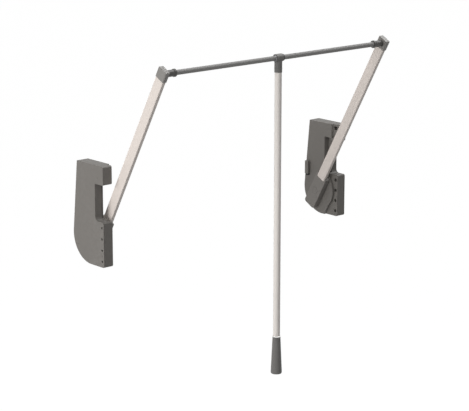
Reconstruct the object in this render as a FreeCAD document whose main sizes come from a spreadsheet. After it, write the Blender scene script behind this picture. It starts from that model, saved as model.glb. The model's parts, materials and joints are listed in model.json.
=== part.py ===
import FreeCAD, Part
import math
import os
import re
import Sketcher
from FreeCAD import Placement, Rotation, Vector

# Pull down closet rod: two housings screwed to the side walls of a closet, each with a
# sprung arm, a telescopic hanging rail between the arms and a pull rod that hangs from it.
#
# Axes: X along the rail (the left housing is at -X), Y from the front of the closet to its
# rear, Z up.  The origin lies midway between the walls, in the plane of the housings'
# front edges and level with their lower ends.  Millimetres.
#
# Every piece of a side is drawn once, on the left.  There "across" is measured along X from
# the wall face into the closet.  The right-hand pieces are mirror images.

DIMENSIONS = {
    # overall
    "opening_width": 928,
    "housing_height": 286,
    # housing outline, seen from the side
    "rear_arc_radius": 79,
    "rear_arc_y": 59,
    "rear_slant": 5.74,
    "corner_radius": 5,
    "notch_bottom": 128.5,
    "upper_block_height": 53,
    "notch_depth": 37,
    "notch_fillet": 12,
    # housing, across
    "flange_thickness": 31.5,
    "waist_thickness": 22,
    "body_thickness": 39,
    "plate_thickness": 3,
    "wall": 3,
    "body_front": 51,
    "upper_front": 21,
    "upper_step_drop": 43,
    "body_foot": 48,
    "disc_radius": 58.5,
    "disc_end_angle": 225,
    "column_depth": 17,
    # recess in the upper front block
    "recess_front": 3.5,
    "recess_rear": 17.5,
    "recess_drop": 7,
    "recess_height": 10.5,
    "recess_depth": 12,
    # row of fixing holes along the front edge
    "screw_row_y": 8,
    "screw_row_z": 17,
    "screw_pitch": 32,
    "screw_count": 4,
    "screw_hole_radius": 3.2,
    "screw_recess_radius": 5,
    "screw_recess_depth": 22,
    # screws that hold the wall plate
    "plate_screw_radius": 1.6,
    "plate_screw_head": 3.2,
    "plate_screw_length": 12,
    "post_radius": 4.5,
    "post_y": 118,
    "post_z": 48,
    "upper_screw_y": 22,
    "upper_screw_drop": 34,
    "lower_screw_y": 8.5,
    "lower_screw_z": 33,
    # clearances
    "running_fit": 0.05,
    "seat_fit": 0.02,
    "side_gap": 0.3,
    # pivot
    "pivot_y": 72,
    "pivot_z": 74,
    "axle_radius": 7,
    "axle_square": 9.6,
    "bush_wall": 2,
    "bush_length": 8,
    "bush_flange_radius": 12,
    "bush_flange_thickness": 0.9,
    "boss_wall": 4,
    "outer_bush_length": 6,
    # pinion and rack
    "tooth_module": 2,
    "tooth_count": 20,
    "pressure_angle": 20,
    "backlash": 0.25,
    "gear_start": 10,
    "gear_width": 14,
    "gear_hub_radius": 11,
    "gear_hub_length": 6.5,
    "pin_radius": 1.5,
    "rack_back": 9.5,
    "rack_tooth_count": 10,
    "rack_teeth_below": 5.5,
    "rack_low": 34,
    # crosshead, springs and damper
    "crosshead_low": 118,
    "crosshead_height": 10,
    "crosshead_front": 56,
    "crosshead_rear": 112,
    "crosshead_width": 20,
    "spring_front_y": 66,
    "spring_rear_y": 102,
    "spring_radius": 7.5,
    "spring_wire_radius": 1.5,
    "spring_turns": 12,
    "spigot_radius": 5.4,
    "spigot_length": 20,
    "anchor_thickness": 11,
    "damper_y": 84,
    "damper_radius": 6.5,
    "damper_length": 82,
    "damper_cap": 4,
    "piston_radius": 5,
    "piston_length": 6,
    "piston_height": 96,
    "damper_rod_radius": 3,
    "damper_rod_seat": 8,
    "guide_thickness": 5,
    "guide_low": 40,
    "guide_high": 104,
    # lower stop on the rear of the housing
    "stop_front": 113,
    "stop_rear": 127,
    "stop_low": 117,
    "stop_height": 41,
    "stop_reach": 10,
    "stop_corner": 2,
    "buffer_thickness": 4.2,
    "buffer_inset": 1,
    # arm
    "arm_lean": 29.1,
    "arm_length": 558,
    "knuckle_width": 45,
    "knuckle_thickness": 16.8,
    "knuckle_corner": 8,
    "tail_length": 57,
    "shoulder_length": 47,
    "shoulder_corner": 2.5,
    "cheek_length": 9,
    "tongue_length": 55,
    "arm_width": 32,
    "arm_thickness": 12,
    "arm_wall": 1.5,
    "arm_edge_radius": 2.5,
    "arm_start": 45.5,
    "pivot_screw_radius": 3,
    "pivot_screw_depth": 16,
    "pivot_screw_head_radius": 9,
    "pivot_screw_head": 3,
    "pivot_screw_hex": 3,
    "pivot_cap_thickness": 1.5,
    "rivet_radius": 2,
    "rivet_inset": 14,
    "rivet_pitch": 24,
    # arm cap and rail socket
    "cap_width": 35,
    "cap_length": 31,
    "cap_thickness": 15,
    "cap_corner": 3,
    "cap_plug_length": 40,
    "socket_spigot_radius": 8,
    "socket_spigot_length": 8,
    "socket_length": 24,
    "socket_radius": 9.3,
    "ring_radius": 11,
    "ring_length": 10,
    "rail_seat_depth": 30,
    "set_screw_radius": 2,
    # rail
    "rail_radius": 7,
    "rail_wall": 1.5,
    "inner_tube_gap": 0.15,
    "inner_tube_wall": 1.2,
    "inner_tube_left": 200,
    "inner_tube_right": 300,
    # tee and lock ring
    "tee_half_length": 11.6,
    "tee_radius": 11.5,
    "tee_sleeve_radius": 11,
    "tee_sleeve_length": 40,
    "tee_bore_depth": 30,
    "clip_radius": 8.6,
    "clip_thickness": 3.5,
    "lock_ring_length": 5,
    "lock_ring_radius": 10,
    "lock_screw_radius": 1.25,
    # pull rod and grip
    "pull_rod_radius": 10,
    "pull_rod_wall": 1.2,
    "pull_rod_length": 918,
    "grip_length": 110,
    "grip_top_radius": 11.4,
    "grip_foot_radius": 16.3,
    "grip_bore_depth": 45,
    "grip_foot_corner": 3,
    "ferrule_length": 3.5,
    "ferrule_radius": 11.2,
    "plug_radius": 11,
    "plug_length": 7,
}

doc = FreeCAD.newDocument("PullDownClosetRod")
sheet = doc.addObject("Spreadsheet::Sheet", "Dims")
for row, (alias, size) in enumerate(DIMENSIONS.items(), start=1):
    sheet.set(f"A{row}", alias)
    sheet.set(f"B{row}", str(size))
    sheet.setAlias(f"B{row}", alias)
doc.recompute()

NODES = []
SIDE_PIECES = []

# Places that several pieces share, as expressions over the sheet.
HALF_WIDTH = "opening_width / 2"
LEFT_WALL = "-opening_width / 2"
GEAR_RADIUS = "tooth_module * tooth_count / 2"
PITCH_LINE_Y = f"pivot_y + {GEAR_RADIUS}"
RACK_ROOT_Y = f"{PITCH_LINE_Y} + 1.25 * tooth_module"
RACK_REAR_Y = f"{RACK_ROOT_Y} + rack_back"
CROSSHEAD_TOP = "crosshead_low + crosshead_height"
NOTCH_TOP = "(housing_height - upper_block_height)"
UPPER_LOW = "(housing_height - upper_step_drop)"
RECESS_HIGH = "(housing_height - recess_drop)"
INNER_TOP = "housing_height - wall"
ANCHOR_LOW = f"{INNER_TOP} - anchor_thickness"
SPRING_ACROSS = "gear_start + crosshead_width / 2"
KNUCKLE_START = "body_thickness + bush_flange_thickness + side_gap"
KNUCKLE_END = f"{KNUCKLE_START} + knuckle_thickness"
ARM_MIDDLE = "arm_start + arm_thickness / 2"
CAP_START = f"{ARM_MIDDLE} - cap_thickness / 2"
CAP_END = f"{ARM_MIDDLE} + cap_thickness / 2"
CAP_LOW = "arm_length - cap_length / 2"
SOCKET_END = f"{CAP_END} + socket_length + ring_length"
RAIL_START = f"{SOCKET_END} - rail_seat_depth"
RAIL_Y = "pivot_y - arm_length * sin(arm_lean * 1 deg)"
RAIL_Z = "pivot_z + arm_length * cos(arm_lean * 1 deg)"
BUSH_RADIUS = "axle_radius + running_fit + bush_wall"
PIVOT_CAP_START = f"{KNUCKLE_END} - pivot_cap_thickness"
SCREW_SEAT = f"{PIVOT_CAP_START} - pivot_screw_head - side_gap"
LOCK_RING_START = "tee_half_length + side_gap"
RAIL_JOINT = f"{LOCK_RING_START} + lock_ring_length / 2"


# ------------------------------------------------------------------ helpers

def bound(text):
    """An expression with every alias pointed at the sheet."""
    def link(match):
        word = match.group()
        return f"Dims.{word}" if word in DIMENSIONS else word
    return re.sub(r"[a-z][a-z0-9_]*", link, text)


def value(text):
    """The number that an expression has now."""
    result = sheet.evalExpression(bound(text))
    return float(getattr(result, "Value", result))


def bind(thing, **sizes):
    for name, text in sizes.items():
        thing.setExpression(name.replace("__", "."), bound(text))
    return thing


def place(thing, x="0", y="0", z="0"):
    return bind(thing, Placement__Base__x=x, Placement__Base__y=y, Placement__Base__z=z)


def box(name, x, y, z):
    """A block between two faces on each axis: x, y and z are pairs of expressions."""
    block = doc.addObject("Part::Box", name)
    sizes = [f"({high}) - ({low})" for low, high in (x, y, z)]
    bind(block, Length=sizes[0], Width=sizes[1], Height=sizes[2])
    return place(block, x[0], y[0], z[0])


TURN = {
    "x": Rotation(Vector(0, 1, 0), 90),
    "y": Rotation(Vector(1, 0, 0), -90),
    "z": Rotation(),
}


def rod(name, axis, start, radius, length, kind="Part::Cylinder"):
    """A cylinder from the point start, along +X, +Y or +Z."""
    cylinder = doc.addObject(kind, name)
    cylinder.Placement = Placement(Vector(), TURN[axis])
    bind(cylinder, Radius=radius, Height=length)
    return place(cylinder, *start)


def taper(name, axis, start, first_radius, last_radius, length):
    cone = doc.addObject("Part::Cone", name)
    cone.Placement = Placement(Vector(), TURN[axis])
    bind(cone, Radius1=first_radius, Radius2=last_radius, Height=length)
    return place(cone, *start)


def join(name, *pieces):
    fused = doc.addObject("Part::MultiFuse", name)
    fused.Shapes = list(pieces)
    fused.Refine = True
    return fused


def cut(name, base, *tools):
    carved = doc.addObject("Part::Cut", name)
    carved.Base = base
    carved.Tool = tools[0] if len(tools) == 1 else join(name + "_tools", *tools)
    carved.Refine = True
    return carved


def group(name, *pieces):
    """Separate solids of one node."""
    compound = doc.addObject("Part::Compound", name)
    compound.Links = list(pieces)
    return compound


def rounded(name, base, directions, radius, keep=lambda middle: True):
    """Fillets the straight edges of a piece that run along one of the given axes."""
    doc.recompute()
    edges = []
    for number, edge in enumerate(base.Shape.Edges, start=1):
        if edge.Curve.TypeId != "Part::GeomLine":
            continue
        along = edge.tangentAt(edge.FirstParameter)
        runs = any(abs(getattr(along, axis)) > 0.999 for axis in directions)
        if runs and keep(edge.CenterOfMass):
            edges.append((number, value(radius), value(radius)))
    fillet = doc.addObject("Part::Fillet", name)
    fillet.Base = base
    fillet.Edges = edges
    return fillet


def tube(name, axis, start, outer, inner, length):
    """A pipe: inner is the radius of its bore."""
    skin = rod(name + "_skin", axis, start, outer, length)
    bore = rod(name + "_bore", axis, start, inner, length)
    return cut(name, skin, bore)


def carried(piece):
    """A bare block or cylinder keeps its own place inside a group that is placed."""
    if piece.TypeId in ("Part::Box", "Part::Cylinder"):
        return group(piece.Name + "Piece", piece)
    return piece


def node(label, piece):
    """Names a sub-part: the label is also the name of its file."""
    piece.Label = label
    NODES.append(piece)
    return piece


def side_node(label, piece):
    """A sub-part of a housing: drawn across from the wall face, and mirrored."""
    piece = carried(piece)
    place(piece, LEFT_WALL)
    node("left_" + label, piece)
    SIDE_PIECES.append((label, piece))
    return piece


def lean(piece, x=LEFT_WALL):
    """Turns a piece drawn upright about the origin to the arm's lean, at the pivot."""
    piece.Placement = Placement(Vector(), Rotation(Vector(1, 0, 0), DIMENSIONS["arm_lean"]))
    bind(piece, Placement__Rotation__Angle="arm_lean")
    return place(piece, x, "pivot_y", "pivot_z")


def arm_node(label, piece):
    """A sub-part of an arm: drawn upright over the pivot, and mirrored."""
    piece = carried(piece)
    lean(piece)
    node("left_" + label, piece)
    SIDE_PIECES.append((label, piece))
    return piece


# ------------------------------------------------------- sketches in the side view

def body(name):
    return doc.addObject("PartDesign::Body", name)


def side_sketch(owner, name, across):
    """A sketch in the side view (Y to the right, Z up), at a distance from the wall."""
    sketch = owner.newObject("Sketcher::SketchObject", name)
    plane = [item for item in owner.Origin.OriginFeatures if item.Role == "YZ_Plane"][0]
    sketch.AttachmentSupport = [(plane, "")]
    sketch.MapMode = "FlatFace"
    bind(sketch, AttachmentOffset__Base__z=across)
    return sketch


def pin_point(sketch, geometry, end, y, z):
    """Holds one point of a sketch at two expressions."""
    origin = (-1, 1)
    for kind, text in (("DistanceX", y), ("DistanceY", z)):
        number = sketch.addConstraint(
            Sketcher.Constraint(kind, origin[0], origin[1], geometry, end, value(text)))
        sketch.setExpression(f"Constraints[{number}]", bound(text))


def draw_outline(sketch, path):
    """A closed outline: each entry is (y, z) for a straight run to the next point, or
    (y, z, centre y, centre z, clockwise) for an arc to the next point."""
    spots = [Vector(value(entry[0]), value(entry[1]), 0) for entry in path]
    count = len(path)
    for index, entry in enumerate(path):
        first = spots[index]
        last = spots[(index + 1) % count]
        if len(entry) == 2:
            sketch.addGeometry(Part.LineSegment(first, last))
            continue
        centre = Vector(value(entry[2]), value(entry[3]), 0)
        clockwise = entry[4]
        start, end = (last, first) if clockwise else (first, last)
        radius = (start - centre).Length
        angles = [math.atan2(spot.y - centre.y, spot.x - centre.x) for spot in (start, end)]
        ring = Part.Circle(centre, Vector(0, 0, 1), radius)
        sketch.addGeometry(Part.ArcOfCircle(ring, angles[0], angles[1]))
    for index, entry in enumerate(path):
        following = (index + 1) % count
        # An arc drawn clockwise ends where its path starts.
        leave = 1 if len(entry) == 5 and entry[4] else 2
        follows_clockwise = len(path[following]) == 5 and path[following][4]
        arrive = 2 if follows_clockwise else 1
        sketch.addConstraint(Sketcher.Constraint("Coincident", index, leave, following, arrive))
        begin = 2 if len(entry) == 5 and entry[4] else 1
        pin_point(sketch, index, begin, entry[0], entry[1])
        if len(entry) == 5:
            # The ends are held, so one coordinate of the centre settles the arc.
            flat = abs(spots[index].y - value(entry[3])) > abs(spots[index].x - value(entry[2]))
            text = entry[2] if flat else entry[3]
            kind = "DistanceX" if flat else "DistanceY"
            number = sketch.addConstraint(
                Sketcher.Constraint(kind, -1, 1, index, 3, value(text)))
            sketch.setExpression(f"Constraints[{number}]", bound(text))
    return sketch


def draw_circle(sketch, y, z, radius):
    number = sketch.addGeometry(
        Part.Circle(Vector(value(y), value(z), 0), Vector(0, 0, 1), value(radius)))
    pin_point(sketch, number, 3, y, z)
    size = sketch.addConstraint(Sketcher.Constraint("Radius", number, value(radius)))
    sketch.setExpression(f"Constraints[{size}]", bound(radius))
    return sketch


def pad(owner, name, sketch, length):
    feature = owner.newObject("PartDesign::Pad", name)
    feature.Profile = sketch
    sketch.Visibility = False
    bind(feature, Length=length)
    doc.recompute()
    return feature


def pocket(owner, name, sketch, length, outwards=False):
    """Cuts from the sketch into the closet, or towards the wall when outwards is set."""
    before = owner.Shape.Volume
    feature = owner.newObject("PartDesign::Pocket", name)
    feature.Profile = sketch
    feature.Reversed = not outwards
    bind(feature, Length=length)
    doc.recompute()
    if owner.Shape.Volume > before - 1e-6:
        raise RuntimeError(name + " cuts nothing")
    return feature


def repeat_up(owner, name, features, sketch, pitch, count):
    """Repeats features upwards."""
    pattern = owner.newObject("PartDesign::LinearPattern", name)
    pattern.Originals = features
    pattern.Direction = (sketch, ["V_Axis"])
    bind(pattern, Length=f"{pitch} * ({count} - 1)", Occurrences=count)
    owner.Tip = pattern
    doc.recompute()
    return pattern


def rear_y(inset, z):
    """Y of the slanting rear edge at the height z, set in by a wall."""
    reach = f"(rear_arc_radius - {inset})"
    rise = f"(({z}) - rear_arc_radius)"
    return (f"rear_arc_y + ({reach} - {rise} * sin(rear_slant * 1 deg))"
            f" / cos(rear_slant * 1 deg)")


def rear_run(inset, top):
    """The path up the rear: lower arc, tangent point and slanting edge to the top."""
    reach = f"(rear_arc_radius - {inset})"
    tangent_y = f"rear_arc_y + {reach} * cos(rear_slant * 1 deg)"
    tangent_z = f"rear_arc_radius + {reach} * sin(rear_slant * 1 deg)"
    return [
        ("rear_arc_y", inset, "rear_arc_y", "rear_arc_radius", False),
        (tangent_y, tangent_z),
        (rear_y(inset, top), top),
    ]


def housing_outline():
    """Side view of a housing: notch in the front edge, arc at the lower rear."""
    turn = "corner_radius"
    path = [(turn, "0")]
    path += rear_run("0", "housing_height")
    path += [
        (turn, "housing_height", turn, f"housing_height - {turn}", False),
        ("0", f"housing_height - {turn}"),
        ("0", f"{NOTCH_TOP} + {turn}", turn, f"{NOTCH_TOP} + {turn}", False),
        (turn, NOTCH_TOP),
        ("notch_depth", NOTCH_TOP),
        ("notch_depth", "notch_bottom + notch_fillet",
         "notch_depth - notch_fillet", "notch_bottom + notch_fillet", True),
        ("notch_depth - notch_fillet", "notch_bottom"),
        (turn, "notch_bottom", turn, f"notch_bottom - {turn}", False),
        ("0", f"notch_bottom - {turn}"),
        ("0", turn, turn, turn, False),
    ]
    return path


def thick_outline(inset):
    """Side view of the thick body behind the front flange, set in by a wall."""
    front = f"body_front + {inset}"
    radius = f"(disc_radius - {inset})"
    shoulder = f"pivot_z + sqrt({radius} ^ 2 - (pivot_y - ({front})) ^ 2)"
    end_y = f"pivot_y + {radius} * cos(disc_end_angle * 1 deg)"
    end_z = f"pivot_z + {radius} * sin(disc_end_angle * 1 deg)"
    top = f"housing_height - {inset}"
    path = rear_run(inset, top)
    if inset == "0":
        path += [("upper_front", top), ("upper_front", UPPER_LOW), (front, UPPER_LOW)]
    else:
        path += [(front, top)]
    path += [
        (front, shoulder, "pivot_y", "pivot_z", False),
        (end_y, end_z),
        (f"body_foot + {inset}", inset),
    ]
    return path


def cavity_outline():
    """Side view of the hollow behind the screw column and the waist."""
    return rear_run("wall", INNER_TOP) + [
        ("body_front + wall", INNER_TOP),
        ("body_front + wall", "notch_bottom - wall"),
        ("column_depth", "notch_bottom - wall"),
        ("column_depth", "wall"),
    ]


# ------------------------------------------------------------------ housing

PLATE_SCREWS = [
    ("upper_screw_y", "housing_height - upper_screw_drop"),
    ("lower_screw_y", "lower_screw_z"),
    ("post_y", "post_z"),
]


def housing_body():
    """The moulded shell, open to the wall side."""
    shell = body("HousingBody")
    outline = side_sketch(shell, "HousingOutline", "plate_thickness")
    draw_outline(outline, housing_outline())
    pad(shell, "Flange", outline, "flange_thickness - plate_thickness")
    thick = side_sketch(shell, "ThickOutline", "flange_thickness")
    draw_outline(thick, thick_outline("0"))
    pad(shell, "ThickBody", thick, "body_thickness - flange_thickness")
    hollow = side_sketch(shell, "HollowOutline", "plate_thickness")
    draw_outline(hollow, cavity_outline())
    pocket(shell, "Hollow", hollow, "flange_thickness - wall - plate_thickness")
    deep = side_sketch(shell, "DeepOutline", "flange_thickness - wall")
    draw_outline(deep, thick_outline("wall"))
    pocket(shell, "DeepHollow", deep, "body_thickness - flange_thickness")
    boss = side_sketch(shell, "BossSketch", "body_thickness - bush_length")
    draw_circle(boss, "pivot_y", "pivot_z", f"{BUSH_RADIUS} + boss_wall")
    pad(shell, "BushBoss", boss, "bush_length")
    post = side_sketch(shell, "PostSketch", "plate_thickness")
    draw_circle(post, "post_y", "post_z", "post_radius")
    pad(shell, "ScrewPost", post, "body_thickness - plate_thickness")
    bore = side_sketch(shell, "BoreSketch", "body_thickness - bush_length")
    draw_circle(bore, "pivot_y", "pivot_z", f"{BUSH_RADIUS} + seat_fit")
    pocket(shell, "BushBore", bore, "bush_length")
    waist = side_sketch(shell, "WaistSketch", "waist_thickness")
    draw_outline(waist, [
        ("notch_depth - wall", "notch_bottom"),
        ("body_front", "notch_bottom"),
        ("body_front", UPPER_LOW),
        ("notch_depth - wall", UPPER_LOW),
    ])
    pocket(shell, "WaistStep", waist, "flange_thickness - waist_thickness")
    recess = side_sketch(shell, "RecessSketch", "flange_thickness - recess_depth")
    draw_outline(recess, [
        ("recess_front", f"{RECESS_HIGH} - recess_height"),
        ("recess_rear", f"{RECESS_HIGH} - recess_height"),
        ("recess_rear", RECESS_HIGH),
        ("recess_front", RECESS_HIGH),
    ])
    pocket(shell, "Recess", recess, "recess_depth")
    pilots = side_sketch(shell, "PilotSketch", "plate_thickness")
    for y, z in PLATE_SCREWS:
        draw_circle(pilots, y, z, "plate_screw_radius + seat_fit")
    pocket(shell, "Pilots", pilots, "plate_screw_length - plate_thickness + side_gap")
    hole = side_sketch(shell, "FixingHoleSketch", "plate_thickness")
    draw_circle(hole, "screw_row_y", "screw_row_z", "screw_hole_radius")
    first = pocket(shell, "FixingHole", hole, "flange_thickness - plate_thickness")
    head = side_sketch(shell, "HeadRecessSketch", "flange_thickness - screw_recess_depth")
    draw_circle(head, "screw_row_y", "screw_row_z", "screw_recess_radius")
    second = pocket(shell, "HeadRecess", head, "screw_recess_depth")
    repeat_up(shell, "FixingRow", [first, second], hole, "screw_pitch", "screw_count")
    return shell


def back_plate():
    """The flat plate against the wall, with the outer bearing boss."""
    plate = body("BackPlate")
    outline = side_sketch(plate, "PlateOutline", "0")
    draw_outline(outline, housing_outline())
    pad(plate, "PlateSheet", outline, "plate_thickness")
    boss = side_sketch(plate, "PlateBossSketch", "plate_thickness")
    draw_circle(boss, "pivot_y", "pivot_z", f"{BUSH_RADIUS} + boss_wall")
    draw_circle(boss, "pivot_y", "pivot_z", f"{BUSH_RADIUS} + seat_fit")
    pad(plate, "PlateBoss", boss, "outer_bush_length")
    heads = side_sketch(plate, "PlateHeadSketch", "0")
    for y, z in PLATE_SCREWS:
        draw_circle(heads, y, z, "plate_screw_head + seat_fit")
    pocket(plate, "PlateHeads", heads, "plate_thickness / 2")
    shanks = side_sketch(plate, "PlateShankSketch", "plate_thickness / 2")
    for y, z in PLATE_SCREWS:
        draw_circle(shanks, y, z, "plate_screw_radius + seat_fit")
    pocket(plate, "PlateShanks", shanks, "plate_thickness / 2")
    hole = side_sketch(plate, "PlateHoleSketch", "0")
    draw_circle(hole, "screw_row_y", "screw_row_z", "screw_hole_radius")
    first = pocket(plate, "PlateHole", hole, "plate_thickness")
    repeat_up(plate, "PlateRow", [first], hole, "screw_pitch", "screw_count")
    return plate


def plate_screws():
    """Countersunk screws that hold the plate to the shell, flush with the wall face."""
    screws = []
    for number, (y, z) in enumerate(PLATE_SCREWS, start=1):
        head = rod(f"PlateScrewHead{number}", "x", ("0", y, z),
                   "plate_screw_head", "plate_thickness / 2")
        shank = rod(f"PlateScrewShank{number}", "x", ("0", y, z),
                    "plate_screw_radius", "plate_screw_length")
        screws.append(join(f"PlateScrew{number}", head, shank))
    return group("PlateScrews", *screws)


def inner_bush():
    """Flanged bush in the inner wall of the housing."""
    start = ("body_thickness - bush_length", "pivot_y", "pivot_z")
    collar_start = ("body_thickness", "pivot_y", "pivot_z")
    sleeve = rod("InnerSleeve", "x", start, BUSH_RADIUS, "bush_length")
    collar = rod("InnerCollar", "x", collar_start, "bush_flange_radius",
                 "bush_flange_thickness")
    bore = rod("InnerBushBore", "x", start, "axle_radius + running_fit",
               "bush_length + bush_flange_thickness")
    return cut("InnerBush", join("InnerBushSkin", sleeve, collar), bore)


def outer_bush():
    """Plain bush in the plate's boss."""
    start = ("plate_thickness", "pivot_y", "pivot_z")
    return tube("OuterBush", "x", start, BUSH_RADIUS, "axle_radius + running_fit",
                "outer_bush_length")


def rack_guide():
    """Acetal strip that keeps the rack in mesh."""
    front = f"{RACK_REAR_Y} + side_gap"
    return box("RackGuide", ("plate_thickness", "gear_start + gear_width"),
               (front, f"{front} + guide_thickness"), ("guide_low", "guide_high"))


def stop_block():
    """Block on the rear of the inner face that the arm's tail meets when it is down."""
    block = box("StopBlockBlank", ("body_thickness", "body_thickness + stop_reach"),
                ("stop_front", "stop_rear"), ("stop_low", "stop_low + stop_height"))
    return rounded("StopBlock", block, "x", "stop_corner")


def stop_buffer():
    """Rubber pad under the stop block."""
    pad_block = box(
        "StopBuffer",
        ("body_thickness", "body_thickness + stop_reach - buffer_inset"),
        ("stop_front + stop_corner", "stop_rear - stop_corner"),
        ("stop_low - buffer_thickness", "stop_low"))
    return pad_block


# ------------------------------------------------------------ drive in the housing

def pivot_axle():
    """Axle: round through the bushes, square in the arm's knuckle, tapped at its end."""
    start = ("plate_thickness + side_gap", "pivot_y", "pivot_z")
    shaft = rod("AxleShaft", "x", start, "axle_radius",
                f"{KNUCKLE_START} - plate_thickness - 2 * side_gap")
    half = "axle_square / 2"
    square = box("AxleSquare",
                 (f"{KNUCKLE_START} - 2 * side_gap", f"{SCREW_SEAT} - side_gap"),
                 (f"-{half}", half), (f"-{half}", half))
    lean(square, "0")
    bind(square, Placement__Base__x=f"{KNUCKLE_START} - 2 * side_gap",
         Placement__Base__y=f"pivot_y - {half} * cos(arm_lean * 1 deg)"
                            f" + {half} * sin(arm_lean * 1 deg)",
         Placement__Base__z=f"pivot_z - {half} * cos(arm_lean * 1 deg)"
                            f" - {half} * sin(arm_lean * 1 deg)")
    thread = rod("AxleThread", "x", (f"{SCREW_SEAT} - pivot_screw_depth", "pivot_y", "pivot_z"),
                 "pivot_screw_radius + seat_fit", "pivot_screw_depth")
    pin = rod("AxlePinHole", "y",
              ("gear_start + gear_width + gear_hub_length / 2", "pivot_y - gear_hub_radius",
               "pivot_z"), "pin_radius + seat_fit", "2 * gear_hub_radius")
    return cut("PivotAxle", join("AxleBlank", shaft, square), thread, pin)


def involute_point(base_radius, radius, turn):
    """A point of the involute at a radius, turned about the gear's axis."""
    roll = math.sqrt((radius / base_radius) ** 2 - 1)
    angle = roll - math.atan(roll) + turn
    return Vector(0, radius * math.cos(angle), radius * math.sin(angle))


def gear_face(module, count, pressure, backlash):
    """Face of an involute gear in the YZ plane, with one tooth along +Y."""
    pitch_radius = module * count / 2
    base_radius = pitch_radius * math.cos(math.radians(pressure))
    root_radius = pitch_radius - 1.25 * module
    tip_radius = pitch_radius + module
    start_radius = max(base_radius, root_radius)
    tangent = math.tan(math.radians(pressure))
    flank_angle = tangent - math.radians(pressure)
    half_tooth = (math.pi * module / 2 - backlash) / 2 / pitch_radius
    steps = 5
    radii = [start_radius + (tip_radius - start_radius) * i / steps for i in range(steps + 1)]

    def at(radius, angle):
        return Vector(0, radius * math.cos(angle), radius * math.sin(angle))

    def flank(middle, side):
        spots = []
        for radius in radii:
            spot = involute_point(base_radius, radius, -half_tooth - flank_angle)
            rotated = math.atan2(spot.z, spot.y) * side + middle
            spots.append(at(radius, rotated))
        return spots

    edges = []
    pitch_angle = 2 * math.pi / count
    for tooth in range(count):
        middle = tooth * pitch_angle
        rising = flank(middle, 1)
        falling = flank(middle, -1)
        following = flank(middle + pitch_angle, 1)
        low_angle = math.atan2(rising[0].z, rising[0].y)
        root_start = at(root_radius, low_angle)
        end_angle = math.atan2(falling[0].z, falling[0].y)
        root_end = at(root_radius, end_angle)
        next_angle = math.atan2(following[0].z, following[0].y)
        next_root = at(root_radius, next_angle)
        curves = []
        for spots in (rising, falling):
            curve = Part.BSplineCurve()
            curve.interpolate(spots)
            curves.append(curve.toShape())
        gap_middle = at(root_radius, middle + pitch_angle / 2)
        edges += [
            Part.makeLine(root_start, rising[0]),
            curves[0],
            Part.Arc(rising[-1], at(tip_radius, middle), falling[-1]).toShape(),
            curves[1],
            Part.makeLine(falling[0], root_end),
            Part.Arc(root_end, gap_middle, next_root).toShape(),
        ]
    wire = Part.Wire(Part.__sortEdges__(edges))
    return Part.Face(wire)


def drive_pinion():
    """Pinion on the axle, with a hub that is cross-pinned."""
    face = gear_face(value("tooth_module"), int(value("tooth_count")),
                     value("pressure_angle"), value("backlash"))
    teeth = doc.addObject("Part::Feature", "PinionTeeth")
    teeth.Shape = face.extrude(Vector(value("gear_width"), 0, 0))
    place(teeth, "gear_start", "pivot_y", "pivot_z")
    hub = rod("PinionHub", "x", ("gear_start", "pivot_y", "pivot_z"), "gear_hub_radius",
              "gear_width + gear_hub_length")
    bore = rod("PinionBore", "x", ("gear_start", "pivot_y", "pivot_z"),
               "axle_radius + seat_fit", "gear_width + gear_hub_length")
    pin = rod("PinionPinHole", "y",
              ("gear_start + gear_width + gear_hub_length / 2", "pivot_y - gear_hub_radius",
               "pivot_z"), "pin_radius + seat_fit", "2 * gear_hub_radius")
    return cut("DrivePinion", join("PinionBlank", teeth, hub), bore, pin)


def pinion_pin():
    return rod("PinionPin", "y",
               ("gear_start + gear_width + gear_hub_length / 2",
                "pivot_y - gear_hub_radius + side_gap", "pivot_z"),
               "pin_radius", "2 * (gear_hub_radius - side_gap)")


def rack_face(module, count, below, pressure, backlash, rear, low):
    """Face of the toothed bar in the YZ plane: y from the pitch line, z from the pinion."""
    pitch = math.pi * module
    slope = math.tan(math.radians(pressure))
    half = (pitch / 2 - backlash) / 2
    tip, root = -module, 1.25 * module
    spots = [Vector(0, rear, low), Vector(0, root, low)]
    for tooth in range(count):
        middle = (tooth - below) * pitch
        spots += [
            Vector(0, root, middle - half - root * slope),
            Vector(0, tip, middle - half - tip * slope),
            Vector(0, tip, middle + half + tip * slope),
            Vector(0, root, middle + half + root * slope),
        ]
    top = value("crosshead_low") - value("pivot_z")
    spots += [Vector(0, root, top), Vector(0, rear, top)]
    return Part.Face(Part.makePolygon(spots + spots[:1]))


def spring_rack():
    """Toothed bar and crosshead: it rises and presses the springs as the arm comes down."""
    face = rack_face(value("tooth_module"), int(value("rack_tooth_count")),
                     value("rack_teeth_below"), value("pressure_angle"), value("backlash"),
                     value(f"{RACK_REAR_Y} - ({PITCH_LINE_Y})"),
                     value("rack_low - pivot_z"))
    bar = doc.addObject("Part::Feature", "RackBar")
    bar.Shape = face.extrude(Vector(value("gear_width"), 0, 0))
    place(bar, "gear_start", PITCH_LINE_Y, "pivot_z")
    head = box("Crosshead", ("gear_start", "gear_start + crosshead_width"),
               ("crosshead_front", "crosshead_rear"), ("crosshead_low", CROSSHEAD_TOP))
    spigots = [
        rod(f"RackSpigot{number}", "z", (SPRING_ACROSS, y, CROSSHEAD_TOP), "spigot_radius",
            "spigot_length")
        for number, y in enumerate(("spring_front_y", "spring_rear_y"), start=1)
    ]
    seat = rod("DamperRodSeat", "z",
               (SPRING_ACROSS, "damper_y", f"{CROSSHEAD_TOP} - damper_rod_seat"),
               "damper_rod_radius + seat_fit", "damper_rod_seat")
    return cut("SpringRack", join("RackBlank", bar, head, *spigots), seat)


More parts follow.
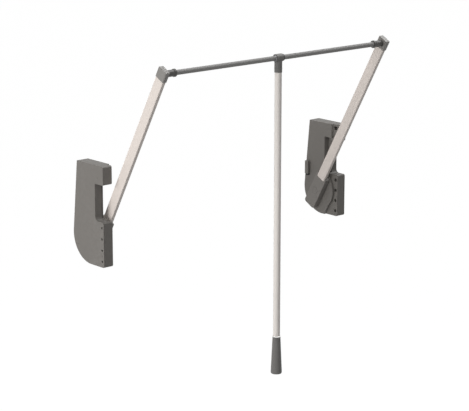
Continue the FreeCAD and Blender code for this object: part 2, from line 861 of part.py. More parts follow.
def spring_anchor():
    """Block under the top of the housing that the springs push against."""
    block = box("AnchorBlock", ("plate_thickness", "body_thickness - wall"),
                ("body_front + wall", "crosshead_rear"), (ANCHOR_LOW, INNER_TOP))
    spigots = [
        rod(f"AnchorSpigot{number}", "z",
            (SPRING_ACROSS, y, f"{ANCHOR_LOW} - spigot_length"), "spigot_radius",
            "spigot_length")
        for number, y in enumerate(("spring_front_y", "spring_rear_y"), start=1)
    ]
    return join("SpringAnchor", block, *spigots)


def coil_spring(name, y):
    """Compression spring between the crosshead and the anchor."""
    wire = value("spring_wire_radius")
    mean = value("spring_radius")
    height = value(f"{ANCHOR_LOW} - ({CROSSHEAD_TOP}) - 2 * spring_wire_radius - side_gap")
    helix = Part.makeHelix(height / value("spring_turns"), height, mean)
    section = Part.Wire(Part.makeCircle(wire, Vector(mean, 0, 0), Vector(0, 1, 0)))
    sweep = Part.Wire(helix.Edges).makePipeShell([section], True, True)
    spring = doc.addObject("Part::Feature", name)
    spring.Shape = sweep
    return place(spring, SPRING_ACROSS, y,
                 f"{CROSSHEAD_TOP} + spring_wire_radius + side_gap / 2")


def lift_springs():
    return group("LiftSprings", coil_spring("FrontSpring", "spring_front_y"),
                 coil_spring("RearSpring", "spring_rear_y"))


def damper_cylinder():
    """Closed cylinder under the anchor, between the springs."""
    low = f"{ANCHOR_LOW} - damper_length"
    skin = rod("DamperSkin", "z", (SPRING_ACROSS, "damper_y", low), "damper_radius",
               "damper_length")
    bore = rod("DamperBore", "z", (SPRING_ACROSS, "damper_y", f"{low} + damper_cap"),
               "piston_radius + running_fit", "damper_length - 2 * damper_cap")
    gland = rod("DamperGland", "z", (SPRING_ACROSS, "damper_y", low),
                "damper_rod_radius + running_fit", "damper_cap")
    return cut("DamperCylinder", skin, bore, gland)


def damper_rod():
    """Rod screwed into the crosshead, with the piston at its top."""
    low = f"{CROSSHEAD_TOP} - damper_rod_seat"
    shaft = rod("DamperShaft", "z", (SPRING_ACROSS, "damper_y", low), "damper_rod_radius",
                "damper_rod_seat + piston_height")
    piston = rod("Piston", "z",
                 (SPRING_ACROSS, "damper_y", f"{CROSSHEAD_TOP} + piston_height - piston_length"),
                 "piston_radius", "piston_length")
    return join("DamperRod", shaft, piston)


# ------------------------------------------------------------------ arm

def across_arm(width):
    return (f"-{width} / 2", f"{width} / 2")


def arm_knuckle():
    """Cast knuckle: tail below the pivot, cheeks beside the arm and a tongue inside it."""
    high = "shoulder_length + cheek_length"
    blank = box("KnuckleBlank", (KNUCKLE_START, KNUCKLE_END), across_arm("knuckle_width"),
                ("-tail_length", high))
    tail = rounded("KnuckleTail", blank, "x", "knuckle_corner", lambda middle: middle.z < 0)
    plate = rounded("KnucklePlate", tail, "x", "shoulder_corner",
                    lambda middle: middle.z > 0)
    slot = box("KnuckleSlot", ("arm_start - seat_fit", KNUCKLE_END),
               across_arm("(arm_width + 2 * seat_fit)"),
               ("shoulder_length", high))
    holder = cut("KnuckleHolder", plate, slot)
    tongue = box("KnuckleTongue",
                 ("arm_start + arm_wall + running_fit",
                  "arm_start + arm_thickness - arm_wall - running_fit"),
                 across_arm("(arm_width - 2 * arm_wall - 2 * running_fit)"),
                 ("shoulder_length - knuckle_corner", "shoulder_length + tongue_length"))
    half = "(axle_square + 2 * seat_fit)"
    square = box("KnuckleSquare", (KNUCKLE_START, KNUCKLE_END), across_arm(half),
                 across_arm(half))
    head = rod("KnuckleHeadRecess", "x", (SCREW_SEAT, "0", "0"),
               "pivot_screw_head_radius + side_gap", f"{KNUCKLE_END} - ({SCREW_SEAT})")
    rivets = rivet_holes("Knuckle", "shoulder_length + rivet_inset")
    return cut("ArmKnuckle", join("KnuckleJoined", holder, tongue), square, head, *rivets)


def rivet_holes(name, first):
    """Two holes from the wall side of the arm into the piece inside it."""
    holes = []
    for number in range(2):
        holes.append(rod(f"{name}RivetHole{number + 1}", "x",
                         ("arm_start", "0", f"{first} + {number} * rivet_pitch"),
                         "rivet_radius + seat_fit", "arm_thickness / 2"))
    return holes


UPPER_RIVETS = f"{CAP_LOW} - rivet_inset - rivet_pitch"


def arm_profile():
    """Flat hollow aluminium arm."""
    blank = box("ArmBlank", ("arm_start", "arm_start + arm_thickness"),
                across_arm("arm_width"), ("shoulder_length", CAP_LOW))
    skin = rounded("ArmSkin", blank, "z", "arm_edge_radius")
    hollow = box("ArmHollow",
                 ("arm_start + arm_wall", "arm_start + arm_thickness - arm_wall"),
                 across_arm("(arm_width - 2 * arm_wall)"), ("shoulder_length", CAP_LOW))
    holes = rivet_holes("ArmLow", "shoulder_length + rivet_inset")
    holes += rivet_holes("ArmHigh", UPPER_RIVETS)
    return cut("ArmProfile", skin, hollow, *holes)


def arm_rivets():
    """Flush rivets at both ends of the arm, on its wall side."""
    rivets = []
    for name, first in (("Low", "shoulder_length + rivet_inset"), ("High", UPPER_RIVETS)):
        for number in range(2):
            rivets.append(rod(f"{name}Rivet{number + 1}", "x",
                              ("arm_start", "0", f"{first} + {number} * rivet_pitch"),
                              "rivet_radius", "arm_thickness / 2 - side_gap"))
    return group("ArmRivets", *rivets)


def pivot_screw():
    """Socket screw that holds the knuckle on the axle."""
    head = rod("PivotScrewHead", "x", (SCREW_SEAT, "0", "0"), "pivot_screw_head_radius",
               "pivot_screw_head")
    shank = rod("PivotScrewShank", "x", (f"{SCREW_SEAT} - pivot_screw_depth + side_gap", "0", "0"),
                "pivot_screw_radius", "pivot_screw_depth")
    hexagon = doc.addObject("Part::Prism", "PivotScrewHex")
    hexagon.Polygon = 6
    hexagon.Placement = Placement(Vector(), TURN["x"])
    bind(hexagon, Circumradius="pivot_screw_hex", Height="pivot_screw_head / 2")
    place(hexagon, f"{SCREW_SEAT} + pivot_screw_head / 2")
    return cut("PivotScrew", join("PivotScrewBlank", head, shank), hexagon)


def pivot_cap():
    """Disc pressed into the knuckle over the pivot screw, flush with its face."""
    return rod("PivotCap", "x", (PIVOT_CAP_START, "0", "0"),
               "pivot_screw_head_radius + side_gap - seat_fit", "pivot_cap_thickness")


def arm_cap():
    """Cap on the arm's upper end, with a plug inside the arm."""
    blank = box("CapBlank", (CAP_START, CAP_END), across_arm("cap_width"),
                (CAP_LOW, f"{CAP_LOW} + cap_length"))
    top = rounded("CapTop", blank, "xz", "cap_corner",
                  lambda middle: middle.z > value(f"{CAP_LOW} + cap_length / 4"))
    plug = box("CapPlug",
               ("arm_start + arm_wall + running_fit",
                "arm_start + arm_thickness - arm_wall - running_fit"),
               across_arm("(arm_width - 2 * arm_wall - 2 * running_fit)"),
               (f"{CAP_LOW} - cap_plug_length", CAP_LOW))
    seat = rod("CapSeat", "x", (f"{CAP_END} - socket_spigot_length", "0", "arm_length"),
               "socket_spigot_radius + seat_fit", "socket_spigot_length")
    rivets = rivet_holes("Cap", UPPER_RIVETS)
    return cut("ArmCap", join("CapJoined", top, plug), seat, *rivets)


def rail_socket():
    """Socket on the cap that holds the rail, with a flared ring at its mouth."""
    centre = ("0", "arm_length")
    spigot = rod("SocketSpigot", "x", (f"{CAP_END} - socket_spigot_length", *centre),
                 "socket_spigot_radius", "socket_spigot_length")
    sleeve = rod("SocketSleeve", "x", (CAP_END, *centre), "socket_radius",
                 "socket_length + ring_length")
    flare = taper("SocketFlare", "x", (f"{CAP_END} + socket_length", *centre),
                  "socket_radius", "ring_radius", "ring_length / 2")
    ring = rod("SocketRing", "x", (f"{CAP_END} + socket_length + ring_length / 2", *centre),
               "ring_radius", "ring_length / 2")
    bore = rod("SocketBore", "x", (RAIL_START, *centre), "rail_radius + seat_fit",
               "rail_seat_depth")
    screw = rod("SocketScrewHole", "z",
                (f"{CAP_END} + socket_length / 2", "0", "arm_length - socket_radius"),
                "set_screw_radius + seat_fit", "socket_radius - rail_radius")
    return cut("RailSocket", join("SocketBlank", spigot, sleeve, flare, ring), bore, screw)


def socket_screw():
    """Grub screw under the socket."""
    return rod("SocketScrew", "z",
               (f"{CAP_END} + socket_length / 2", "0", "arm_length - socket_radius"),
               "set_screw_radius", "socket_radius - rail_radius - running_fit")


# ------------------------------------------------------------------ rail

def rail_tube(name, start, end):
    centre = ("0", "arm_length")
    return tube(name, "x", (start, *centre), "rail_radius", "rail_radius - rail_wall",
                f"({end}) - ({start})")


def inner_tube():
    outer = "(rail_radius - rail_wall - inner_tube_gap)"
    return tube("RailInnerTube", "x", ("-inner_tube_left", "0", "arm_length"), outer,
                f"{outer} - inner_tube_wall", "inner_tube_left + inner_tube_right")


def lock_ring():
    """Ring over the joint of the two tubes."""
    start = (LOCK_RING_START, "0", "arm_length")
    skin = rod("LockRingSkin", "x", start, "lock_ring_radius", "lock_ring_length")
    bore = rod("LockRingBore", "x", start, "rail_radius + running_fit", "lock_ring_length")
    hole = rod("LockRingHole", "z",
               (RAIL_JOINT, "0", "arm_length - lock_ring_radius"),
               "lock_screw_radius + seat_fit", "lock_ring_radius - rail_radius")
    return cut("LockRing", skin, bore, hole)


def lock_screw():
    return rod("LockScrew", "z",
               (RAIL_JOINT, "0", "arm_length - lock_ring_radius"),
               "lock_screw_radius", "lock_ring_radius - rail_radius - 2 * running_fit")


def tee_clip():
    """Retaining ring beside the tee."""
    return tube("TeeClip", "x", ("-tee_half_length - side_gap - clip_thickness", "0", "arm_length"),
                "clip_radius", "rail_radius + seat_fit", "clip_thickness")


# ------------------------------------------------------------------ pull rod

def tee_connector():
    """Collar that turns on the rail, with a sleeve for the pull rod."""
    start = ("-tee_half_length", "0", "0")
    length = "2 * tee_half_length"
    collar = rod("TeeCollar", "x", start, "tee_radius", length)
    sleeve = rod("TeeSleeve", "z", ("0", "0", "-tee_sleeve_length"), "tee_sleeve_radius",
                 "tee_sleeve_length")
    bore = rod("TeeBore", "x", start, "rail_radius + running_fit", length)
    socket = rod("TeeSocket", "z", ("0", "0", "-tee_sleeve_length"),
                 "pull_rod_radius + seat_fit", "tee_bore_depth")
    hole = rod("TeeScrewHole", "y", ("0", "-tee_radius", "-tee_sleeve_length + tee_bore_depth / 2"),
               "set_screw_radius + seat_fit", "tee_radius")
    return cut("TeeConnector", join("TeeBlank", collar, sleeve), bore, socket, hole)


def tee_screw():
    """Grub screw through the sleeve into the pull rod, at the rear."""
    return rod("TeeScrew", "y",
               ("0", "-tee_sleeve_radius", "-tee_sleeve_length + tee_bore_depth / 2"),
               "set_screw_radius", "pull_rod_wall + running_fit")


def pull_rod_tube():
    low = "-pull_rod_length + grip_length - grip_bore_depth"
    top = "-tee_sleeve_length + tee_bore_depth"
    pipe = tube("PullRodPipe", "z", ("0", "0", low), "pull_rod_radius",
                "pull_rod_radius - pull_rod_wall", f"{top} - ({low}) - side_gap")
    hole = rod("PullRodScrewHole", "y",
               ("0", "-tee_radius", "-tee_sleeve_length + tee_bore_depth / 2"),
               "set_screw_radius + seat_fit", "tee_radius")
    return cut("PullRodTube", pipe, hole)


def grip_ferrule():
    return tube("GripFerrule", "z", ("0", "0", "-pull_rod_length + grip_length"),
                "ferrule_radius", "pull_rod_radius + seat_fit", "ferrule_length")


def pull_grip():
    """Tapered grip, wider at its foot."""
    low = ("0", "0", "-pull_rod_length")
    skin = taper("GripSkin", "z", low, "grip_foot_radius", "grip_top_radius", "grip_length")
    doc.recompute()
    foot = [
        (number, value("grip_foot_corner"), value("grip_foot_corner"))
        for number, edge in enumerate(skin.Shape.Edges, start=1)
        if edge.CenterOfMass.z < value("grip_foot_corner - pull_rod_length") and edge.isClosed()
    ]
    soft = doc.addObject("Part::Fillet", "GripRounded")
    soft.Base = skin
    soft.Edges = foot
    bore = rod("GripBore", "z", ("0", "0", "-pull_rod_length + grip_length - grip_bore_depth"),
               "pull_rod_radius + seat_fit", "grip_bore_depth")
    seat = rod("GripPlugSeat", "z", low, "plug_radius + seat_fit", "plug_length")
    return cut("PullGrip", soft, bore, seat)


def grip_plug():
    return rod("GripPlug", "z", ("0", "0", "-pull_rod_length"), "plug_radius",
               "plug_length - side_gap")


def rod_node(label, piece):
    """A sub-part that hangs from the rail: drawn about the rail's axis."""
    piece = carried(piece)
    place(piece, "0", RAIL_Y, RAIL_Z)
    return node(label, piece)


def bar_node(label, piece):
    """A sub-part on the rail, drawn about the pivot with X from the middle."""
    piece = carried(piece)
    lean(piece, "0")
    return node(label, piece)


# ------------------------------------------------------------------ assembly

side_node("housing_body", housing_body())
side_node("back_plate", back_plate())
side_node("plate_screws", plate_screws())
side_node("inner_bush", inner_bush())
side_node("outer_bush", outer_bush())
side_node("rack_guide", rack_guide())
side_node("stop_block", stop_block())
side_node("stop_buffer", stop_buffer())
side_node("pivot_axle", pivot_axle())
side_node("drive_pinion", drive_pinion())
side_node("pinion_pin", pinion_pin())
side_node("spring_rack", spring_rack())
side_node("spring_anchor", spring_anchor())
side_node("lift_springs", lift_springs())
side_node("damper_cylinder", damper_cylinder())
side_node("damper_rod", damper_rod())
arm_node("arm_knuckle", arm_knuckle())
arm_node("pivot_screw", pivot_screw())
arm_node("pivot_cap", pivot_cap())
arm_node("arm_profile", arm_profile())
arm_node("arm_rivets", arm_rivets())
arm_node("arm_cap", arm_cap())
arm_node("rail_socket", rail_socket())
arm_node("socket_screw", socket_screw())

for label, piece in SIDE_PIECES:
    mirrored = doc.addObject("Part::Mirroring", "Right" + piece.Name)
    mirrored.Source = piece
    mirrored.Normal = Vector(1, 0, 0)
    mirrored.Base = Vector(0, 0, 0)
    node("right_" + label, mirrored)

bar_node("rail_left_tube", rail_tube("RailLeftTube", f"{LEFT_WALL} + {RAIL_START}",
                                     RAIL_JOINT))
bar_node("rail_right_tube", rail_tube("RailRightTube", f"{RAIL_JOINT} + side_gap",
                                      f"{HALF_WIDTH} - ({RAIL_START})"))
bar_node("rail_inner_tube", inner_tube())
bar_node("rail_lock_ring", lock_ring())
bar_node("rail_lock_screw", lock_screw())
bar_node("tee_clip", tee_clip())
rod_node("tee_connector", tee_connector())
rod_node("tee_screw", tee_screw())
rod_node("pull_rod_tube", pull_rod_tube())
rod_node("grip_ferrule", grip_ferrule())
rod_node("pull_grip", pull_grip())
rod_node("grip_plug", grip_plug())

doc.recompute()
for thing in doc.Objects:
    if "Invalid" in thing.State or "Error" in thing.State:
        raise RuntimeError(f"{thing.Name} ({thing.Label}) failed: {thing.State}")

os.makedirs("parts", exist_ok=True)
for piece in NODES:
    shape = piece.Shape
    if shape.isNull() or not shape.isValid():
        raise RuntimeError(piece.Label + " has no valid shape")
    if not shape.Solids:
        raise RuntimeError(piece.Label + " has no solid")
    shape.exportStep(f"parts/{piece.Label}.step")
print(len(NODES), "nodes")
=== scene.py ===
# %% [markdown]
# # A pull down closet rod
# A closet lift has two housings on the closet's side walls, a sprung arm on each, a hanging
# rail between the arms and a rod that hangs from the rail, to pull it down by.
# The measured model is loaded first. It is the frame that every piece below is built round:
# metres, X along the rail, Y from the closet's front to its rear, Z up.

# %% Load the frame
import json
import math
import bmesh
import bpy
from mathutils import Matrix, Vector

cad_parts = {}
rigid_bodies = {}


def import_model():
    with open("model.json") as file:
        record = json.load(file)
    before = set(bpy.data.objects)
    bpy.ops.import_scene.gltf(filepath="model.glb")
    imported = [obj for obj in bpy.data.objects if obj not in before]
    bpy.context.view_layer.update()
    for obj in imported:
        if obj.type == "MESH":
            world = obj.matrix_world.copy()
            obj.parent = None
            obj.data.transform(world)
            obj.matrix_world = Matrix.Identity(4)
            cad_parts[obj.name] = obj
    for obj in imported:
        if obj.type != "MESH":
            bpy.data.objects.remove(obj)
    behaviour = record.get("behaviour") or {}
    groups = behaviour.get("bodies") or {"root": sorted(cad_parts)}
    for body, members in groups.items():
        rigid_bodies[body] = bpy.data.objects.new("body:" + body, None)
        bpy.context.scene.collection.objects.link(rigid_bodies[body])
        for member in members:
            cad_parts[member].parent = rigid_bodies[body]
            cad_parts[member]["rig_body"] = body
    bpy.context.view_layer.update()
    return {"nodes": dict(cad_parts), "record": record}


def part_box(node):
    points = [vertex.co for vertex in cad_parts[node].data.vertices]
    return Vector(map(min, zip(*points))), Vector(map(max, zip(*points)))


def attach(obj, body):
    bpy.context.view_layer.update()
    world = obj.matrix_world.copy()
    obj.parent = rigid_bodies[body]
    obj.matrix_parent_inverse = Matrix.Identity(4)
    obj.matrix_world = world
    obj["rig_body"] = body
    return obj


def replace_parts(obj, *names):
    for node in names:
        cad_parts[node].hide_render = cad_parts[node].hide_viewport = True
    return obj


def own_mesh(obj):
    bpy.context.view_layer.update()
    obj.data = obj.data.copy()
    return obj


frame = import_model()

MM = 0.001
nodes = frame["nodes"]
slot_of = {part["node"]: part["material_slot"] for part in frame["record"]["subparts"]}
print("pieces in the frame:", len(nodes))

# %% [markdown]
# ## The camera
# A long lens from the left, above the rail, shows the outside of the left housing and the
# inside of the right one. A constraint could aim it at a target. Here its three directions are
# worked out from two angles and a small roll, so that each can be read and changed by itself.
# Lens and sensor are in millimetres.

# %% Place the camera
YAW = math.radians(41.33)
PITCH = math.radians(13.74)
ROLL = math.radians(0.06)
EYE = Vector((-3.4731, -3.9655, 1.3931))
LENS = 143.44
SENSOR = 36

ahead = Vector((
    math.sin(YAW) * math.cos(PITCH),
    math.cos(YAW) * math.cos(PITCH),
    -math.sin(PITCH),
))
level_right = Vector((math.cos(YAW), -math.sin(YAW), 0))
level_up = level_right.cross(ahead)
right = level_right * math.cos(ROLL) + level_up * math.sin(ROLL)
up = level_up * math.cos(ROLL) - level_right * math.sin(ROLL)

lens = bpy.data.cameras.new("camera")
lens.lens = LENS
lens.sensor_width = SENSOR
lens.sensor_fit = "HORIZONTAL"
lens.clip_end = 200
camera = bpy.data.objects.new("camera", lens)
turn = Matrix((right, up, -ahead)).transposed()
camera.matrix_world = Matrix.Translation(EYE) @ turn.to_4x4()
bpy.context.scene.collection.objects.link(camera)
bpy.context.scene.camera = camera
print("camera looks along", [round(part, 3) for part in ahead])

# %% [markdown]
# ## Effects that several finishes share
# Three things show up on more than one material here: the fine grain that a mould leaves on
# plastic, the drawn lines along a metal tube, and corners that are rubbed a little paler.
# Each is a node group with named inputs, built once. A finish places the group with its own
# values, so the grain on the grip can be coarser than the grain on the housings.

# %% Helpers that fill a node tree
FLOAT = "NodeSocketFloat"
COLOUR = "NodeSocketColor"
VECTOR = "NodeSocketVector"


def shader_group(name, inputs, outputs):
    """An empty shader group with its sockets, its two end nodes ready to be linked."""
    group = bpy.data.node_groups.new(name, "ShaderNodeTree")
    for label, kind, default in inputs:
        socket = group.interface.new_socket(label, in_out="INPUT", socket_type=kind)
        if default is not None:
            socket.default_value = default
    for label, kind in outputs:
        group.interface.new_socket(label, in_out="OUTPUT", socket_type=kind)
    start = group.nodes.new("NodeGroupInput")
    end = group.nodes.new("NodeGroupOutput")
    return group, start.outputs, end.inputs


def add(tree, kind, links=(), **settings):
    """A node with its settings, its inputs either linked or given a plain value."""
    node = tree.nodes.new(kind)
    for label, setting in settings.items():
        setattr(node, label, setting)
    for label, source in dict(links).items():
        if isinstance(source, bpy.types.NodeSocket):
            tree.links.new(source, node.inputs[label])
        else:
            node.inputs[label].default_value = source
    return node


# %% [markdown]
# ### What a noise does to a finish
# Grain and drawn lines both come from a noise. As a height it goes to the bump. It also
# shifts the colour and the roughness a little, up and down about their middle, and that part
# is the same for both groups, so one helper adds it.

# %% A helper that lets a noise shade a group
def shade(tree, noise, share, taken, given):
    """Shifts a group's colour and roughness by a share of a noise between 0 and 1."""
    centred = add(tree, "ShaderNodeMath", {0: noise, 1: 0.5}, operation="SUBTRACT")
    shift = add(tree, "ShaderNodeMath", {0: centred.outputs[0], 1: share}, operation="MULTIPLY")
    level = add(tree, "ShaderNodeMath", {0: shift.outputs[0], 1: 1.0}, operation="ADD")
    tint = add(tree, "ShaderNodeVectorMath", {0: taken["Colour"], "Scale": level.outputs[0]},
               operation="SCALE")
    dull = add(tree, "ShaderNodeMath", {0: shift.outputs[0], 1: 2.0, 2: taken["Roughness"]},
               operation="MULTIPLY_ADD")
    tree.links.new(tint.outputs[0], given["Colour"])
    tree.links.new(dull.outputs[0], given["Roughness"])


# %% [markdown]
# ### Moulded grain
# The steel of a plastic mould is etched, which gives the plastic a grain of less than half a
# millimetre. Cooling adds broad, faint patches. An image of grain would need the surface
# unwrapped, while a noise only needs the place of a point, and it has no seams. One noise
# makes each: the fine one goes to the bump, the broad one to colour and roughness.

# %% Build the moulded grain
grain, taken, given = shader_group(
    "moulded_grain",
    [("Place", VECTOR, None), ("Colour", COLOUR, (0.5, 0.5, 0.5, 1)),
     ("Grain per metre", FLOAT, 2500.0), ("Patches", FLOAT, 0.05), ("Roughness", FLOAT, 0.5)],
    [("Colour", COLOUR), ("Roughness", FLOAT), ("Height", FLOAT)],
)
fine = add(grain, "ShaderNodeTexNoise",
           {"Vector": taken["Place"], "Scale": taken["Grain per metre"], "Detail": 2.0})
broad = add(grain, "ShaderNodeTexNoise", {"Vector": taken["Place"], "Scale": 24.0, "Detail": 3.0})
shade(grain, broad.outputs["Fac"], taken["Patches"], taken, given)
grain.links.new(fine.outputs["Fac"], given["Height"])
print(grain.name, "outputs:", [socket.name for socket in given if socket.name])

# %% [markdown]
# ### Drawn lines
# Tube is pulled through a die, and satin aluminium is brushed the same way, so its scratches
# run along it. A noise that is squeezed across the tube and stretched along it gives them.
# Lengthwise is local Z here; a Mapping node in the finish turns it to the piece's own line.

# %% Build the drawn lines
drawn, taken, given = shader_group(
    "drawn_lines",
    [("Place", VECTOR, None), ("Colour", COLOUR, (0.8, 0.8, 0.8, 1)),
     ("Lines per metre", FLOAT, 1800.0), ("Depth", FLOAT, 0.04), ("Roughness", FLOAT, 0.35)],
    [("Colour", COLOUR), ("Roughness", FLOAT), ("Height", FLOAT)],
)
squeeze = add(drawn, "ShaderNodeVectorMath", {0: taken["Place"], 1: (1.0, 1.0, 0.012)},
              operation="MULTIPLY")
line = add(drawn, "ShaderNodeTexNoise",
           {"Vector": squeeze.outputs[0], "Scale": taken["Lines per metre"], "Detail": 4.0})
shade(drawn, line.outputs["Fac"], taken["Depth"], taken, given)
drawn.links.new(line.outputs["Fac"], given["Height"])
print(drawn.name, "outputs:", [socket.name for socket in given if socket.name])

# %% [markdown]
# ### Rubbed edges
# Hands and hangers rub the corners first. Such wear could be painted on by hand, corner by
# corner. Pointiness says how sharply a surface bends, so it finds the bevels by itself. A
# noise breaks the mask up, because wear is never even.

# %% Build the rubbed edges
rubbed, taken, given = shader_group(
    "rubbed_edges",
    [("Place", VECTOR, None), ("Colour", COLOUR, (0.5, 0.5, 0.5, 1)),
     ("Worn colour", COLOUR, (0.6, 0.6, 0.6, 1)), ("Amount", FLOAT, 0.4)],
    [("Colour", COLOUR)],
)
bend = add(rubbed, "ShaderNodeNewGeometry")
edge = add(rubbed, "ShaderNodeMapRange",
           {"Value": bend.outputs["Pointiness"], "From Min": 0.515, "From Max": 0.6})
spots = add(rubbed, "ShaderNodeTexNoise", {"Vector": taken["Place"], "Scale": 90.0, "Detail": 4.0})
broken = add(rubbed, "ShaderNodeMapRange",
             {"Value": spots.outputs["Fac"], "From Min": 0.35, "From Max": 0.65})
worn = add(rubbed, "ShaderNodeMath", {0: edge.outputs[0], 1: broken.outputs[0]},
           operation="MULTIPLY")
share = add(rubbed, "ShaderNodeMath", {0: worn.outputs[0], 1: taken["Amount"]},
            operation="MULTIPLY")
FACTOR, FIRST_COLOUR, SECOND_COLOUR = 0, 6, 7
blend = add(rubbed, "ShaderNodeMix", {
    FACTOR: share.outputs[0], FIRST_COLOUR: taken["Colour"], SECOND_COLOUR: taken["Worn colour"],
}, data_type="RGBA")
rubbed.links.new(blend.outputs[2], given["Colour"])
print(rubbed.name, "outputs:", [socket.name for socket in given if socket.name])

# %% [markdown]
# ## Finishes
# A helper sets up what every plastic here has in common: grain for colour, roughness and
# bump, then rubbed corners. A second one does so for the metals. What stays the same all over
# a surface, such as how metallic it is, is set on the shader itself.

# %% Helpers for plastic and metal
GRAIN_DEPTH = 0.08 * MM
LINE_DEPTH = 0.02 * MM
WEAR = 0.35
PLASTIC_GLEAM = 0.35


def empty_finish(name):
    """A material with its shader and the place of each point on the object."""
    finish = bpy.data.materials.new(name)
    finish.use_nodes = True
    tree = finish.node_tree
    shader = tree.nodes["Principled BSDF"]
    place = tree.nodes.new("ShaderNodeTexCoord").outputs["Object"]
    return finish, tree, shader, place


def bump(tree, shader, height, strength, distance):
    """Turns a height in metres into the shader's normal."""
    node = add(tree, "ShaderNodeBump",
               {"Strength": strength, "Distance": distance, "Height": height})
    tree.links.new(node.outputs["Normal"], shader.inputs["Normal"])


def plastic(name, colour, worn, roughness, grain_size=0.4, patches=0.08):
    """Moulded plastic, with the colour of its rubbed corners. The grain is in millimetres."""
    finish, tree, shader, place = empty_finish(name)
    skin = add(tree, "ShaderNodeGroup", {
        "Place": place, "Colour": (*colour, 1), "Grain per metre": 1000 / grain_size,
        "Patches": patches, "Roughness": roughness,
    }, node_tree=grain)
    edges = add(tree, "ShaderNodeGroup", {
        "Place": place, "Colour": skin.outputs["Colour"], "Worn colour": (*worn, 1),
        "Amount": WEAR,
    }, node_tree=rubbed)
    tree.links.new(edges.outputs["Colour"], shader.inputs["Base Color"])
    tree.links.new(skin.outputs["Roughness"], shader.inputs["Roughness"])
    bump(tree, shader, skin.outputs["Height"], 0.5, GRAIN_DEPTH)
    shader.inputs["Specular IOR Level"].default_value = PLASTIC_GLEAM
    return finish


def metal(name, colour, roughness, metallic, turned=(0, 0, 0), lines=0.6, depth=0.09):
    """Drawn or brushed metal. The lines are so many millimetres apart, along turned Z."""
    finish, tree, shader, place = empty_finish(name)
    along = add(tree, "ShaderNodeMapping", {"Vector": place, "Rotation": turned})
    skin = add(tree, "ShaderNodeGroup", {
        "Place": along.outputs["Vector"], "Colour": (*colour, 1),
        "Lines per metre": 1000 / lines, "Depth": depth, "Roughness": roughness,
    }, node_tree=drawn)
    tree.links.new(skin.outputs["Colour"], shader.inputs["Base Color"])
    tree.links.new(skin.outputs["Roughness"], shader.inputs["Roughness"])
    bump(tree, shader, skin.outputs["Height"], 0.15, LINE_DEPTH)
    shader.inputs["Metallic"].default_value = metallic
    return finish


# %% [markdown]
# ### Greys of the housings and fittings
# The housings are a warm dark grey. The arm roots and the caps come from other moulds and are
# a little paler, the caps with more shine. Tee and grip are a cooler grey, the rail's sockets
# are darker and the lock ring is black, painted darker than its own black as painted shade for
# the tee's shadow on it and the shade between its ridges. Each line gives the colour, the paler
# colour of its rubbed corners, and the roughness.

# %% Make the plastics
finishes = {
    "housing_grey": plastic("housing_grey", (0.158, 0.148, 0.136), (0.24, 0.228, 0.214), 0.52),
    "knuckle_grey": plastic("knuckle_grey", (0.19, 0.178, 0.165), (0.26, 0.25, 0.238), 0.5),
    "cap_grey": plastic("cap_grey", (0.225, 0.215, 0.202), (0.31, 0.3, 0.286), 0.33),
    "socket_grey": plastic("socket_grey", (0.083, 0.079, 0.075), (0.15, 0.145, 0.14), 0.42),
    "tee_grey": plastic("tee_grey", (0.148, 0.143, 0.137), (0.2, 0.194, 0.186), 0.5),
    "grip_grey": plastic("grip_grey", (0.165, 0.16, 0.154), (0.23, 0.225, 0.22), 0.5,
                         grain_size=0.7),
    "inner_black": plastic("inner_black", (0.07, 0.07, 0.072), (0.12, 0.12, 0.12), 0.4),
    # The lock ring's colour is darker than its own black: painted shade for the tee's shadow on it
    # and the shade between its ridges.
    "ring_black_with_painted_shade": plastic("ring_black_with_painted_shade", (0.036, 0.036, 0.038), (0.06, 0.06, 0.062), 0.45),
    "acetal": plastic("acetal", (0.84, 0.83, 0.79), (0.9, 0.89, 0.86), 0.32, patches=0.03),
    "rubber_black": plastic("rubber_black", (0.03, 0.03, 0.031), (0.07, 0.07, 0.07), 0.75,
                            grain_size=0.9),
}
print("plastics:", sorted(finishes))

# %% [markdown]
# ### Metals
# The arms are flat aluminium profile with a satin coat, and their lines follow the arm, which
# leans 29.1 degrees forward. Rail and pull rod are steel tube with a coat of their own. A coat
# isn't metal to the light, so these three have no metallic share. The gear, the springs and
# the inner tube are bare. Each line gives the colour, the roughness and the metallic share.

# %% Make the metals
LEAN = math.radians(29.1)
ALONG_X = (0, math.radians(90), 0)
finishes |= {
    "arm_satin": metal("arm_satin", (0.692, 0.628, 0.582), 0.42, 0.0, turned=(-LEAN, 0, 0),
                       lines=0.9, depth=0.1),
    "rod_satin": metal("rod_satin", (0.79, 0.745, 0.705), 0.4, 0.0),
    "screw_black": metal("screw_black", (0.09, 0.088, 0.085), 0.4, 0.6, turned=ALONG_X),
    "rail_grey": metal("rail_grey", (0.25, 0.245, 0.239), 0.62, 0.0, turned=ALONG_X),
    "rail_inner": metal("rail_inner", (0.5, 0.5, 0.5), 0.35, 0.9, turned=ALONG_X),
    "ferrule": metal("ferrule", (0.8, 0.79, 0.77), 0.22, 0.9, lines=0.2),
    "steel": metal("steel", (0.62, 0.62, 0.63), 0.3, 1.0, turned=ALONG_X),
    "spring_steel": metal("spring_steel", (0.3, 0.3, 0.31), 0.33, 1.0),
    "gear_steel": metal("gear_steel", (0.42, 0.41, 0.4), 0.38, 1.0, turned=ALONG_X),
}
print("finishes:", len(finishes))

# %% [markdown]
# ### Which piece gets which finish
# The record names a slot for every piece, and most pieces take the finish of that name. Four
# differ from the rest of their slot: the clip is of spring steel, the lock ring is black with
# painted shade for the tee's shadow and its ridges, and the screws of the two wall plates are
# painted over with the housing.

# %% Give the measured pieces their finishes
finish_of = {name: finishes[slot] for name, slot in slot_of.items()}
finish_of["tee_clip"] = finishes["spring_steel"]
# The lock ring takes the black with painted shade for the tee's shadow and its ridges.
finish_of["rail_lock_ring"] = finishes["ring_black_with_painted_shade"]
finish_of["left_plate_screws"] = finishes["housing_grey"]
finish_of["right_plate_screws"] = finishes["housing_grey"]
for name, node in nodes.items():
    node.data.materials.clear()
    node.data.materials.append(finish_of[name])
print("pieces with a finish:", len(finish_of))

